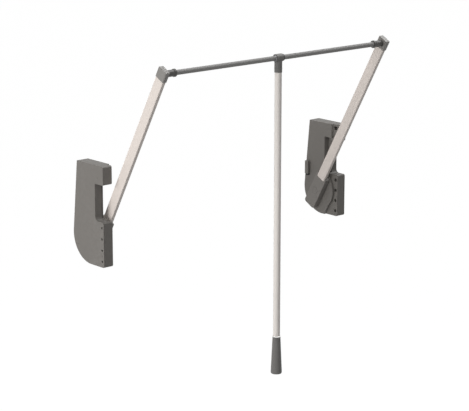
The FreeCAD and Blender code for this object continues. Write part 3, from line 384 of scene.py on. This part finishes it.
# %% [markdown]
# ## Pieces with softened edges
# Nothing that comes out of a mould has a knife edge. A Bevel node in the finish would only
# bend the light, and the outline would stay sharp, so the corners are rounded in the mesh. A
# copy of the measured shape gets its loose triangles merged into whole faces, and a Bevel
# modifier rounds its outer corners. The corners are marked one by one, sharp and pointing
# outwards, and the rims of small bores are left out: a rim is too tight for the bevel, which
# would fold the flat face round it.

# %% Helpers that find a bore and mark the outer corners
SHARP = math.radians(35)
SMALL_BORE = 8 * MM


def lines_a_bore(face):
    """True for a strip of a small bore's wall.

    Neighbouring strips turn inwards by a small angle. The way from one to the next, divided
    by that angle, is the bore's radius.
    """
    for edge in face.edges:
        if len(edge.link_faces) != 2:
            continue
        bend = edge.calc_face_angle_signed()
        if -math.radians(40) < bend < -math.radians(2):
            one, other = edge.link_faces
            apart = (one.calc_center_median() - other.calc_center_median()).length
            if apart / -bend < SMALL_BORE:
                return True
    return False


def mark_corners(mesh):
    """Gives each outer corner a bevel weight of one and says how many there are."""
    weight = mesh.edges.layers.float.new("bevel_weight_edge")
    bores = {face.index for face in mesh.faces if lines_a_bore(face)}
    marked = 0
    for edge in mesh.edges:
        if len(edge.link_faces) != 2 or edge.calc_face_angle_signed() < SHARP:
            continue
        if any(face.index in bores for face in edge.link_faces):
            continue
        edge[weight] = 1.0
        marked += 1
    return marked


def keep_creases(mesh):
    """Marks the edges that no bevel rounds as sharp, so that the light breaks there."""
    weight = mesh.edges.layers.float["bevel_weight_edge"]
    for edge in mesh.edges:
        if len(edge.link_faces) == 2 and edge[weight] == 0:
            edge.smooth = abs(edge.calc_face_angle_signed()) < SHARP


# %% Helpers that soften a piece and put it in place
def soften(piece, width):
    """Rounds the marked corners of a piece by a width in millimetres."""
    for face in piece.data.polygons:
        face.use_smooth = True
    bevel = piece.modifiers.new("corners", "BEVEL")
    bevel.width = width * MM
    bevel.segments = 3
    bevel.limit_method = "WEIGHT"
    bevel.use_clamp_overlap = False
    bevel.miter_outer = "MITER_ARC"
    normals = piece.modifiers.new("flat faces", "WEIGHTED_NORMAL")
    normals.keep_sharp = True
    return piece


def show(piece, node):
    """Gives a new piece the finish and body of a node, and a place in the scene."""
    if piece.name not in bpy.context.scene.collection.objects:
        bpy.context.scene.collection.objects.link(piece)
    piece.data.materials.clear()
    piece.data.materials.append(finish_of[node])
    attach(piece, nodes[node]["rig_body"])
    return piece


def finish_shape(name, node, mesh, width):
    """Makes a piece of a bmesh, with its corners marked and rounded."""
    mesh.faces.index_update()
    corners = mark_corners(mesh)
    keep_creases(mesh)
    whole = bpy.data.meshes.new(name)
    mesh.to_mesh(whole)
    mesh.free()
    piece = show(bpy.data.objects.new(name, whole), node)
    print(name, len(whole.polygons), "faces,", corners, "corner edges")
    return soften(piece, width)


def softened(node, width, flat=0.5):
    """A softened copy of a measured piece, which takes its place.

    Triangles that bend by less than the flat angle, in degrees, are merged into one face.
    """
    mesh = bmesh.new()
    mesh.from_mesh(nodes[node].data)
    bmesh.ops.remove_doubles(mesh, verts=mesh.verts, dist=0.002 * MM)
    bmesh.ops.dissolve_limit(mesh, angle_limit=math.radians(flat),
                             verts=mesh.verts, edges=mesh.edges)
    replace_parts(finish_shape(node + "_finished", node, mesh, width), node)


# %% [markdown]
# ### Housings, arm roots, arms and caps
# The widths are in millimetres: tight on the housings' tooled edges, widest on the arm roots
# that swing close to them, and very small on the metal profile. The sockets flare so gently
# that half a degree would merge strips of the flare, and ripple it, so their triangles are
# only merged where they are truly flat.

# %% Soften the pieces of both sides
EDGE = {
    "housing_body": 0.7,
    "back_plate": 0.5,
    "stop_block": 0.8,
    "arm_knuckle": 1.5,
    "pivot_cap": 0.35,
    "arm_profile": 0.25,
    "arm_cap": 0.8,
    "rail_socket": 0.6,
}
SIDES = ("left", "right")
for side in SIDES:
    for part, width in EDGE.items():
        softened(f"{side}_{part}", width, flat=0.05 if part == "rail_socket" else 0.5)

# %% Soften the pieces in the middle
softened("tee_connector", 0.8)

# %% [markdown]
# ## Shapes that grow from a rule
# A tube, a spring and a row of screws all follow a rule, and Geometry Nodes draw them from
# it. Each tree has named inputs for its sizes, ends in real geometry with its finish, and is
# run once. The result is kept as a plain mesh, so nothing is left to work out later.

# %% Helpers that build and run a tree
WHOLE = "NodeSocketInt"


def growth(name, inputs):
    """An empty Geometry Nodes tree with named inputs, its two end nodes ready to be linked."""
    tree = bpy.data.node_groups.new(name, "GeometryNodeTree")
    tree.interface.new_socket("Geometry", in_out="OUTPUT", socket_type="NodeSocketGeometry")
    for label, kind in inputs + [("Finish", "NodeSocketMaterial")]:
        tree.interface.new_socket(label, in_out="INPUT", socket_type=kind)
    start = tree.nodes.new("NodeGroupInput")
    end = tree.nodes.new("NodeGroupOutput")
    return tree, start.outputs, end.inputs


def close(tree, taken, given, shape):
    """Ends a tree with real, smooth geometry that has its finish."""
    real = add(tree, "GeometryNodeRealizeInstances", {"Geometry": shape})
    smooth = add(tree, "GeometryNodeSetShadeSmooth", {"Geometry": real.outputs[0]})
    coat = add(tree, "GeometryNodeSetMaterial",
               {"Geometry": smooth.outputs[0], "Material": taken["Finish"]})
    tree.links.new(coat.outputs[0], given["Geometry"])
    print(tree.name, "inputs:", [socket.name for socket in taken if socket.name])


def grow(name, tree, node, sizes, points=()):
    """Runs a tree and keeps its result as a plain mesh, with the finish and body of a node."""
    seed = bpy.data.meshes.new(name)
    seed.from_pydata(list(points), [], [])
    piece = bpy.data.objects.new(name, seed)
    bpy.context.scene.collection.objects.link(piece)
    rule = piece.modifiers.new("rule", "NODES")
    rule.node_group = tree
    sizes = sizes | {"Finish": finish_of[node]}
    for item in tree.interface.items_tree:
        if item.in_out == "INPUT" and item.name in sizes:
            rule[item.identifier] = sizes[item.name]
    ready = piece.evaluated_get(bpy.context.evaluated_depsgraph_get())
    solid = bpy.data.meshes.new_from_object(ready)
    piece.modifiers.clear()
    piece.data = solid
    print(name, len(solid.polygons), "faces")
    return show(piece, node)


# %% [markdown]
# ### Tubes and rings
# A curve with a bevel makes a pipe, but one without a wall. Here the wall is a long thin
# rectangle that goes once round a circle, and a ring is only a short tube. The rectangle's
# corners are filleted, which rounds the rims. The circle is drawn flat at the origin and then
# turned and moved to lie between two points.

# %% Build the tube tree
tube_tree, taken, given = growth(
    "tube",
    [("Start", VECTOR), ("End", VECTOR), ("Radius", FLOAT), ("Wall", FLOAT), ("Rim", FLOAT),
     ("Segments", WHOLE)],
)
span = add(tube_tree, "ShaderNodeVectorMath", {0: taken["End"], 1: taken["Start"]},
           operation="SUBTRACT")
length = add(tube_tree, "ShaderNodeVectorMath", {0: span.outputs[0]}, operation="LENGTH")
both = add(tube_tree, "ShaderNodeVectorMath", {0: taken["End"], 1: taken["Start"]},
           operation="ADD")
middle = add(tube_tree, "ShaderNodeVectorMath", {0: both.outputs[0], "Scale": 0.5},
             operation="SCALE")
inset = add(tube_tree, "ShaderNodeMath", {0: taken["Wall"], 1: -0.5, 2: taken["Radius"]},
            operation="MULTIPLY_ADD")
round_path = add(tube_tree, "GeometryNodeCurvePrimitiveCircle",
                 {"Resolution": taken["Segments"], "Radius": inset.outputs[0]})
section = add(tube_tree, "GeometryNodeCurvePrimitiveQuadrilateral",
              {"Width": taken["Wall"], "Height": length.outputs["Value"]})
filleted = add(tube_tree, "GeometryNodeFilletCurve",
               {"Curve": section.outputs[0], "Count": 3, "Radius": taken["Rim"]}, mode="POLY")
swept = add(tube_tree, "GeometryNodeCurveToMesh",
            {"Curve": round_path.outputs[0], "Profile Curve": filleted.outputs[0]})
aligned = add(tube_tree, "FunctionNodeAlignRotationToVector", {"Vector": span.outputs[0]},
              axis="Z")
placed = add(tube_tree, "GeometryNodeTransform", {
    "Geometry": swept.outputs[0], "Translation": middle.outputs[0],
    "Rotation": aligned.outputs[0],
})
close(tube_tree, taken, given, placed.outputs[0])


TUBE_STEPS = 64


def tube(name, node, start, end, radius, wall, rim):
    """A tube between two points. Radius, wall and rim are in millimetres."""
    piece = grow(name, tube_tree, node, {
        "Start": start, "End": end, "Radius": radius * MM, "Wall": wall * MM, "Rim": rim * MM,
        "Segments": TUBE_STEPS,
    })
    level = piece.modifiers.new("flat faces", "WEIGHTED_NORMAL")
    level.keep_sharp = False
    return piece


# %% [markdown]
# ### Rail, pull rod and their rings
# The two rail tubes meet on the inner tube at the tee, and the pull rod hangs from it. A
# steel clip holds the tee on its left and a lock ring on its right, and a bright ferrule
# closes the grip. Their places and radii are read from the measured pieces. Each line gives
# the axis, 0 for X and 2 for Z, then the wall and the rounding of the rims in millimetres.
# The lock ring is drawn a little thinner than it is, because its knurl comes on top.

# %% Draw the tubes and rings
RING_INSET = 0.3


def ends(node, axis):
    """Where a round piece starts and ends along an axis, and its radius in millimetres."""
    low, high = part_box(node)
    middle = (low + high) / 2
    start = middle.copy()
    end = middle.copy()
    start[axis] = low[axis]
    end[axis] = high[axis]
    return start, end, (high[axis - 1] - low[axis - 1]) / 2 / MM


for node, axis, wall, rim in (
    ("rail_left_tube", 0, 1.5, 0.3),
    ("rail_right_tube", 0, 1.5, 0.3),
    ("pull_rod_tube", 2, 1.2, 0.3),
    ("grip_ferrule", 2, 1.15, 0.45),
    ("tee_clip", 0, 1.55, 0.5),
    ("rail_lock_ring", 0, 2.6, 0.5),
):
    start, end, radius = ends(node, axis)
    if node == "rail_lock_ring":
        radius -= RING_INSET
    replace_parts(tube(node + "_drawn", node, start, end, radius, wall, rim), node)

# %% [markdown]
# ### The bead on the tee
# A low bead runs round the tee's sleeve, a little above its foot. It is a very short tube with
# round rims that stands half out of the sleeve.

# %% Draw the bead
BEAD_RISE = 10 * MM
BEAD_LENGTH = 2 * MM
bead_low = ends("pull_rod_tube", 2)[0]
bead_low.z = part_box("tee_connector")[0].z + BEAD_RISE
bead_high = bead_low + Vector((0, 0, BEAD_LENGTH))
tube("tee_bead", "tee_connector", bead_low, bead_high, radius=11.45, wall=0.9, rim=0.42)

# %% [markdown]
# ### Lift springs
# A compression spring has closed ends: the first and last turn lie flat on the next one, so
# that it stands straight. A Screw modifier winds every turn alike and can't close the ends.
# So a straight line is cut into points, and each point is put on the helix by its share of
# the way up. Three ramps add up to the height: slow, fast, slow.

# %% Build the spring tree
spring_tree, taken, given = growth(
    "spring",
    [("Foot", VECTOR), ("Height", FLOAT), ("Radius", FLOAT), ("Wire", FLOAT), ("Turns", FLOAT),
     ("Points", WHOLE)],
)
straight = add(spring_tree, "GeometryNodeCurvePrimitiveLine")
cut_up = add(spring_tree, "GeometryNodeResampleCurve",
             {"Curve": straight.outputs[0], "Count": taken["Points"]})
share = add(spring_tree, "GeometryNodeSplineParameter").outputs["Factor"]
turns = add(spring_tree, "ShaderNodeMath", {0: share, 1: taken["Turns"]}, operation="MULTIPLY")
angle = add(spring_tree, "ShaderNodeMath", {0: turns.outputs[0], 1: math.tau},
            operation="MULTIPLY")
across = add(spring_tree, "ShaderNodeMath", {0: angle.outputs[0]}, operation="COSINE")
aside = add(spring_tree, "ShaderNodeMath", {0: angle.outputs[0]}, operation="SINE")
first = add(spring_tree, "ShaderNodeMapRange",
            {"Value": turns.outputs[0], "From Min": 0.0, "From Max": 1.0, "To Max": taken["Wire"]})
before_last = add(spring_tree, "ShaderNodeMath", {0: taken["Turns"], 1: 1.0},
                  operation="SUBTRACT")
open_height = add(spring_tree, "ShaderNodeMath",
                  {0: taken["Wire"], 1: -2.0, 2: taken["Height"]}, operation="MULTIPLY_ADD")
open_turns = add(spring_tree, "ShaderNodeMapRange", {
    "Value": turns.outputs[0], "From Min": 1.0, "From Max": before_last.outputs[0],
    "To Max": open_height.outputs[0],
})
last = add(spring_tree, "ShaderNodeMapRange", {
    "Value": turns.outputs[0], "From Min": before_last.outputs[0], "From Max": taken["Turns"],
    "To Max": taken["Wire"],
})
lower = add(spring_tree, "ShaderNodeMath", {0: first.outputs[0], 1: open_turns.outputs[0]},
            operation="ADD")
rise = add(spring_tree, "ShaderNodeMath", {0: lower.outputs[0], 1: last.outputs[0]},
           operation="ADD")
flat_turn = add(spring_tree, "ShaderNodeCombineXYZ",
                {"X": across.outputs[0], "Y": aside.outputs[0]})
wide = add(spring_tree, "ShaderNodeVectorMath",
           {0: flat_turn.outputs[0], "Scale": taken["Radius"]}, operation="SCALE")
lift = add(spring_tree, "ShaderNodeCombineXYZ", {"Z": rise.outputs[0]})
helix = add(spring_tree, "ShaderNodeVectorMath", {0: wide.outputs[0], 1: lift.outputs[0]},
            operation="ADD")
bent = add(spring_tree, "GeometryNodeSetPosition",
           {"Geometry": cut_up.outputs[0], "Position": helix.outputs[0]})
half_wire = add(spring_tree, "ShaderNodeMath", {0: taken["Wire"], 1: 0.5},
                operation="MULTIPLY")
wire = add(spring_tree, "GeometryNodeCurvePrimitiveCircle",
           {"Resolution": 10, "Radius": half_wire.outputs[0]})
coil = add(spring_tree, "GeometryNodeCurveToMesh",
           {"Curve": bent.outputs[0], "Profile Curve": wire.outputs[0], "Fill Caps": True})
placed = add(spring_tree, "GeometryNodeTransform",
             {"Geometry": coil.outputs[0], "Translation": taken["Foot"]})
close(spring_tree, taken, given, placed.outputs[0])

# %% Wind the springs
WIRE = 3 * MM
COIL_RADIUS = 7.5 * MM
TURNS = 12
POINTS_A_TURN = 20
for side in SIDES:
    node = f"{side}_lift_springs"
    low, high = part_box(node)
    middle_x = (low.x + high.x) / 2
    half_width = COIL_RADIUS + WIRE / 2
    for place, y in (("front", low.y + half_width), ("rear", high.y - half_width)):
        piece = grow(f"{side}_spring_{place}", spring_tree, node, {
            "Foot": (middle_x, y, low.z + WIRE / 2), "Height": high.z - low.z - WIRE,
            "Radius": COIL_RADIUS, "Wire": WIRE, "Turns": float(TURNS),
            "Points": TURNS * POINTS_A_TURN + 1,
        })
        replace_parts(piece, node)
        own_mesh(piece)

# %% [markdown]
# ### Plate screws
# Three countersunk screws hold each wall plate. One screw is turned on a lathe: rings of
# points, joined by faces. It gets a cross recess, cut with a Boolean. A tree then puts a copy
# on each of three points. The sizes and places are in millimetres.

# %% Helpers for turned shapes
def ring(mesh, radius, height, steps, centre=(0.0, 0.0)):
    """A ring of points round an upright line, all in metres."""
    return [
        mesh.verts.new((
            centre[0] + radius * math.cos(math.tau * step / steps),
            centre[1] + radius * math.sin(math.tau * step / steps),
            height,
        ))
        for step in range(steps)
    ]


def join(mesh, ring_below, ring_above):
    """Faces all the way round between two rings of as many points."""
    count = len(ring_below)
    for step in range(count):
        beside = (step + 1) % count
        mesh.faces.new((ring_below[step], ring_below[beside], ring_above[beside],
                        ring_above[step]))


# %% Helpers that make a screw and its recess
SCREW_STEPS = 24
SCREW_PROFILE = ((3.2, 0), (3.15, -0.3), (1.6, -1.7), (1.6, -11.4), (0.9, -12))
CROSS_HALF = 0.42
CROSS_REACH = 1.9
CROSS_TOP = 0.4
CROSS_BOTTOM = -1.3
CROSS_TAPER = 0.6


def screw_shape():
    """A countersunk screw from its radii and heights. Its head's face is at Z 0."""
    shape = bmesh.new()
    rings = [ring(shape, radius * MM, height * MM, SCREW_STEPS)
             for radius, height in SCREW_PROFILE]
    for this, after in zip(rings, rings[1:]):
        join(shape, this, after)
    shape.faces.new(rings[0])
    shape.faces.new(rings[-1])
    bmesh.ops.recalc_face_normals(shape, faces=shape.faces)
    return shape


def cross_shape():
    """The cross that is cut into a head, narrower at its bottom."""
    shape = bmesh.new()
    corners = []
    for quarter in range(4):
        angle = math.pi / 2 * quarter
        for out, side in ((CROSS_HALF, -CROSS_HALF), (CROSS_REACH, -CROSS_HALF),
                          (CROSS_REACH, CROSS_HALF)):
            corners.append((out * math.cos(angle) - side * math.sin(angle),
                            out * math.sin(angle) + side * math.cos(angle)))
    top = [shape.verts.new((x * MM, y * MM, CROSS_TOP * MM)) for x, y in corners]
    bottom = [
        shape.verts.new((x * CROSS_TAPER * MM, y * CROSS_TAPER * MM, CROSS_BOTTOM * MM))
        for x, y in corners
    ]
    shape.faces.new(top)
    shape.faces.new(bottom)
    join(shape, top, bottom)
    bmesh.ops.recalc_face_normals(shape, faces=shape.faces)
    return shape


def plain_object(name, shape):
    """A loose object of a bmesh, to cut with or to copy from."""
    mesh = bpy.data.meshes.new(name)
    shape.to_mesh(mesh)
    shape.free()
    thing = bpy.data.objects.new(name, mesh)
    bpy.context.scene.collection.objects.link(thing)
    return thing


# %% Make one screw
screw = plain_object("screw", screw_shape())
cross = plain_object("cross", cross_shape())
recess = screw.modifiers.new("recess", "BOOLEAN")
recess.operation = "DIFFERENCE"
recess.object = cross
ready = screw.evaluated_get(bpy.context.evaluated_depsgraph_get())
screw_mesh = bpy.data.meshes.new_from_object(ready)
screw.modifiers.clear()
screw.data = screw_mesh
bpy.data.objects.remove(cross)
print("screw", len(screw_mesh.polygons), "faces")

# %% Build the tree for a piece on points
row_tree, taken, given = growth(
    "on_points",
    [("Points", "NodeSocketGeometry"), ("Piece", "NodeSocketObject"), ("Turn", VECTOR)],
)
piece_info = add(row_tree, "GeometryNodeObjectInfo", {"Object": taken["Piece"]})
turn_by = add(row_tree, "FunctionNodeEulerToRotation", {"Euler": taken["Turn"]})
copies = add(row_tree, "GeometryNodeInstanceOnPoints", {
    "Points": taken["Points"], "Instance": piece_info.outputs["Geometry"],
    "Rotation": turn_by.outputs[0],
})
close(row_tree, taken, given, copies.outputs[0])

# %% Set the screws
SCREW_PLACES = ((118, 48), (22, 252), (8.5, 33))
for side, way in zip(SIDES, (-1, 1)):
    node = f"{side}_plate_screws"
    wall_face = way * max(abs(corner.x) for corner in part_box(node))
    points = [(wall_face, y * MM, z * MM) for y, z in SCREW_PLACES]
    turn_out = (0.0, way * math.pi / 2, 0.0)
    piece = grow(f"{node}_set", row_tree, node, {"Piece": screw, "Turn": turn_out}, points)
    piece.data.polygons.foreach_set("use_smooth", [False] * len(piece.data.polygons))
    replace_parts(piece, node)
bpy.data.objects.remove(screw)

# %% [markdown]
# ### Knurl on the lock ring
# Fingers need something to hold when they turn the ring. Forty small round ridges stand out
# of it. An Array turned by an empty could copy them round. A tree needs no helper object: it
# sets one bar on the points of a circle and turns them all to lie along X. The circle is
# small enough for the ridges to end at the ring's measured size.

# %% Build the ridge tree
ridge_tree, taken, given = growth(
    "ridges",
    [("Middle", VECTOR), ("Circle", FLOAT), ("Ridge", FLOAT), ("Length", FLOAT), ("Count", WHOLE)],
)
circle = add(ridge_tree, "GeometryNodeMeshCircle",
             {"Vertices": taken["Count"], "Radius": taken["Circle"]})
bar = add(ridge_tree, "GeometryNodeMeshCylinder",
          {"Vertices": 8, "Radius": taken["Ridge"], "Depth": taken["Length"]})
around = add(ridge_tree, "GeometryNodeInstanceOnPoints",
             {"Points": circle.outputs[0], "Instance": bar.outputs["Mesh"]})
lying = add(ridge_tree, "GeometryNodeTransform", {
    "Geometry": around.outputs[0], "Translation": taken["Middle"],
    "Rotation": (0.0, math.pi / 2, 0.0),
})
close(ridge_tree, taken, given, lying.outputs[0])

# %% Set the ridges on the ring
RIDGE = 0.45 * MM
RIDGE_STOP = 0.6 * MM
RIDGE_COUNT = 40
low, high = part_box("rail_lock_ring")
ring_radius = (high.y - low.y) / 2
ridges = grow("rail_lock_ridges", ridge_tree, "rail_lock_ring", {
    "Middle": (low + high) / 2, "Circle": ring_radius - RIDGE, "Ridge": RIDGE,
    "Length": high.x - low.x - 2 * RIDGE_STOP, "Count": RIDGE_COUNT,
})
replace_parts(ridges, "rail_lock_ring")

# %% [markdown]
# ### The grip
# The grip widens towards its foot, so that a wet hand can't slip off. A Spin would turn it and
# leave a seam to merge, so its rings are laid one by one and joined without a seam. They
# follow one closed outline: the foot with its round corner, the long cone, a low collar at
# the top, and the bore that takes the rod. Each point of it is a radius and a height.

# %% Turn the grip
PLUG_BORE = 11.05 * MM
PLUG_DEPTH = 7.5 * MM
ROD_BORE = 10.05 * MM
ROD_DEPTH = 45 * MM


def turned(profile, centre, steps):
    """A bmesh turned from a closed profile of (radius, height) in metres about the Z line."""
    mesh = bmesh.new()
    rings = [ring(mesh, radius, height, steps, centre) for radius, height in profile]
    for this, after in zip(rings, rings[1:] + rings[:1]):
        join(mesh, this, after)
    bmesh.ops.recalc_face_normals(mesh, faces=mesh.faces)
    return mesh


low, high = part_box("pull_grip")
axis_line = ((low.x + high.x) / 2, (low.y + high.y) / 2)
foot_radius = (high.x - low.x) / 2
grip_outline = [
    (PLUG_BORE, low.z),
    (foot_radius - 3.0 * MM, low.z),
    (foot_radius - 1.5 * MM, low.z + 0.4 * MM),
    (foot_radius - 0.4 * MM, low.z + 1.5 * MM),
    (foot_radius, low.z + 3.2 * MM),
    (foot_radius - 0.1 * MM, low.z + 8.0 * MM),
    (11.75 * MM, high.z - 6.4 * MM),
    (11.3 * MM, high.z - 6.1 * MM),
    (11.3 * MM, high.z - 5.3 * MM),
    (11.85 * MM, high.z - 5.0 * MM),
    (11.5 * MM, high.z),
    (ROD_BORE, high.z),
    (ROD_BORE, high.z - ROD_DEPTH),
    (PLUG_BORE, low.z + PLUG_DEPTH),
]
grip_mesh = turned(grip_outline, axis_line, steps=72)
grip = finish_shape("pull_grip_turned", "pull_grip", grip_mesh, 0.3)
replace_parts(grip, "pull_grip")

# %% [markdown]
# ## The floor
# A wide pale floor lies well below the grip, as it would in a room. Stronger lamps could make
# it white, but they would bleach the pale arms too. So to a lamp it is matt grey paint, which
# takes the object's shadow, and to the eye and in reflections it is mostly a white glow.

# %% A helper that tells the eye from a lamp
def seen(tree):
    """One for a ray from the eye, a reflection or a clear body, zero for any other."""
    ray = add(tree, "ShaderNodeLightPath")
    direct = add(tree, "ShaderNodeMath",
                 {0: ray.outputs["Is Camera Ray"], 1: ray.outputs["Is Glossy Ray"]},
                 operation="MAXIMUM")
    through = add(tree, "ShaderNodeMath",
                  {0: direct.outputs[0], 1: ray.outputs["Is Transmission Ray"]},
                  operation="MAXIMUM")
    return through.outputs[0]


# %% Lay the floor
FLOOR_Z = -1.7
FLOOR_HALF = 60
FLOOR_GREY = 0.62
GLOW = 1.1
GLOW_SHARE = 0.9
floor_mesh = bpy.data.meshes.new("floor")
floor_mesh.from_pydata(
    [(x * FLOOR_HALF, y * FLOOR_HALF, FLOOR_Z) for x, y in ((-1, -1), (1, -1), (1, 1), (-1, 1))],
    [], [(0, 1, 2, 3)],
)
floor = bpy.data.objects.new("floor", floor_mesh)
bpy.context.scene.collection.objects.link(floor)
floor_paint = bpy.data.materials.new("floor_paint")
floor_paint.use_nodes = True
tree = floor_paint.node_tree
matt = tree.nodes["Principled BSDF"]
matt.inputs["Base Color"].default_value = (FLOOR_GREY, FLOOR_GREY, FLOOR_GREY, 1)
matt.inputs["Roughness"].default_value = 0.9
matt.inputs["Specular IOR Level"].default_value = 0.1
glow = add(tree, "ShaderNodeEmission", {"Strength": GLOW})
glow_share = add(tree, "ShaderNodeMath", {0: seen(tree), 1: GLOW_SHARE}, operation="MULTIPLY")
mixed = add(tree, "ShaderNodeMixShader",
            {0: glow_share.outputs[0], 1: matt.outputs[0], 2: glow.outputs[0]})
tree.links.new(mixed.outputs[0], tree.nodes["Material Output"].inputs["Surface"])
floor_mesh.materials.append(floor_paint)
print("floor at", FLOOR_Z, "m")

# %% [markdown]
# ## Light
# Four large soft lamps light the object. The strongest stands on the left, lights the faces
# that look that way and fades towards the right. One above lights the tops, one near the eye
# keeps the fronts from going black, and one behind on the right does so for the backs. They
# don't show in reflections. A card high on the right shows only there, and gives the caps and
# the rail their shine. The room is white to the eye and in reflections, and dim as a light.

# %% Light the room
AMBIENT = 0.08
world = bpy.data.worlds.new("room")
world.use_nodes = True
bpy.context.scene.world = world
tree = world.node_tree
strength = add(tree, "ShaderNodeMapRange",
               {"Value": seen(tree), "To Min": AMBIENT, "To Max": 1.0})
sky = tree.nodes["Background"]
sky.inputs["Color"].default_value = (1, 1, 1, 1)
tree.links.new(strength.outputs[0], sky.inputs["Strength"])
print("the room lights at", AMBIENT)

# %% Set up the lamps
MIDDLE = (0.0, 0.0, 0.2)


def lamp(name, place, size, watts, aim=MIDDLE):
    """A square soft lamp that points at a place and doesn't show in reflections."""
    light = bpy.data.lights.new(name, "AREA")
    light.size = size
    light.energy = watts
    holder = bpy.data.objects.new(name, light)
    holder.location = place
    holder.rotation_euler = (Vector(aim) - Vector(place)).to_track_quat("-Z", "Y").to_euler()
    holder.visible_camera = False
    holder.visible_glossy = False
    bpy.context.scene.collection.objects.link(holder)
    return holder


lamp("left_lamp", (-3.3, 0.25, 0.5), size=1.6, watts=74)
lamp("near_lamp", (-2.4, -2.9, 2.4), size=1.6, watts=45)
lamp("top_lamp", (0.0, 0.0, 3.3), size=2.4, watts=54)
lamp("far_lamp", (2.7, 2.7, 0.7), size=2.0, watts=60)
card = lamp("card", (1.9, -0.3, 3.0), size=2.0, watts=70, aim=(0.0, 0.0, 0.4))
card.visible_diffuse = False
card.visible_glossy = True

# %% [markdown]
# ## The view transform
# Colours are shown with the Standard view transform.

# %% Set the view transform
bpy.context.scene.view_settings.view_transform = "Standard"
bpy.context.view_layer.update()
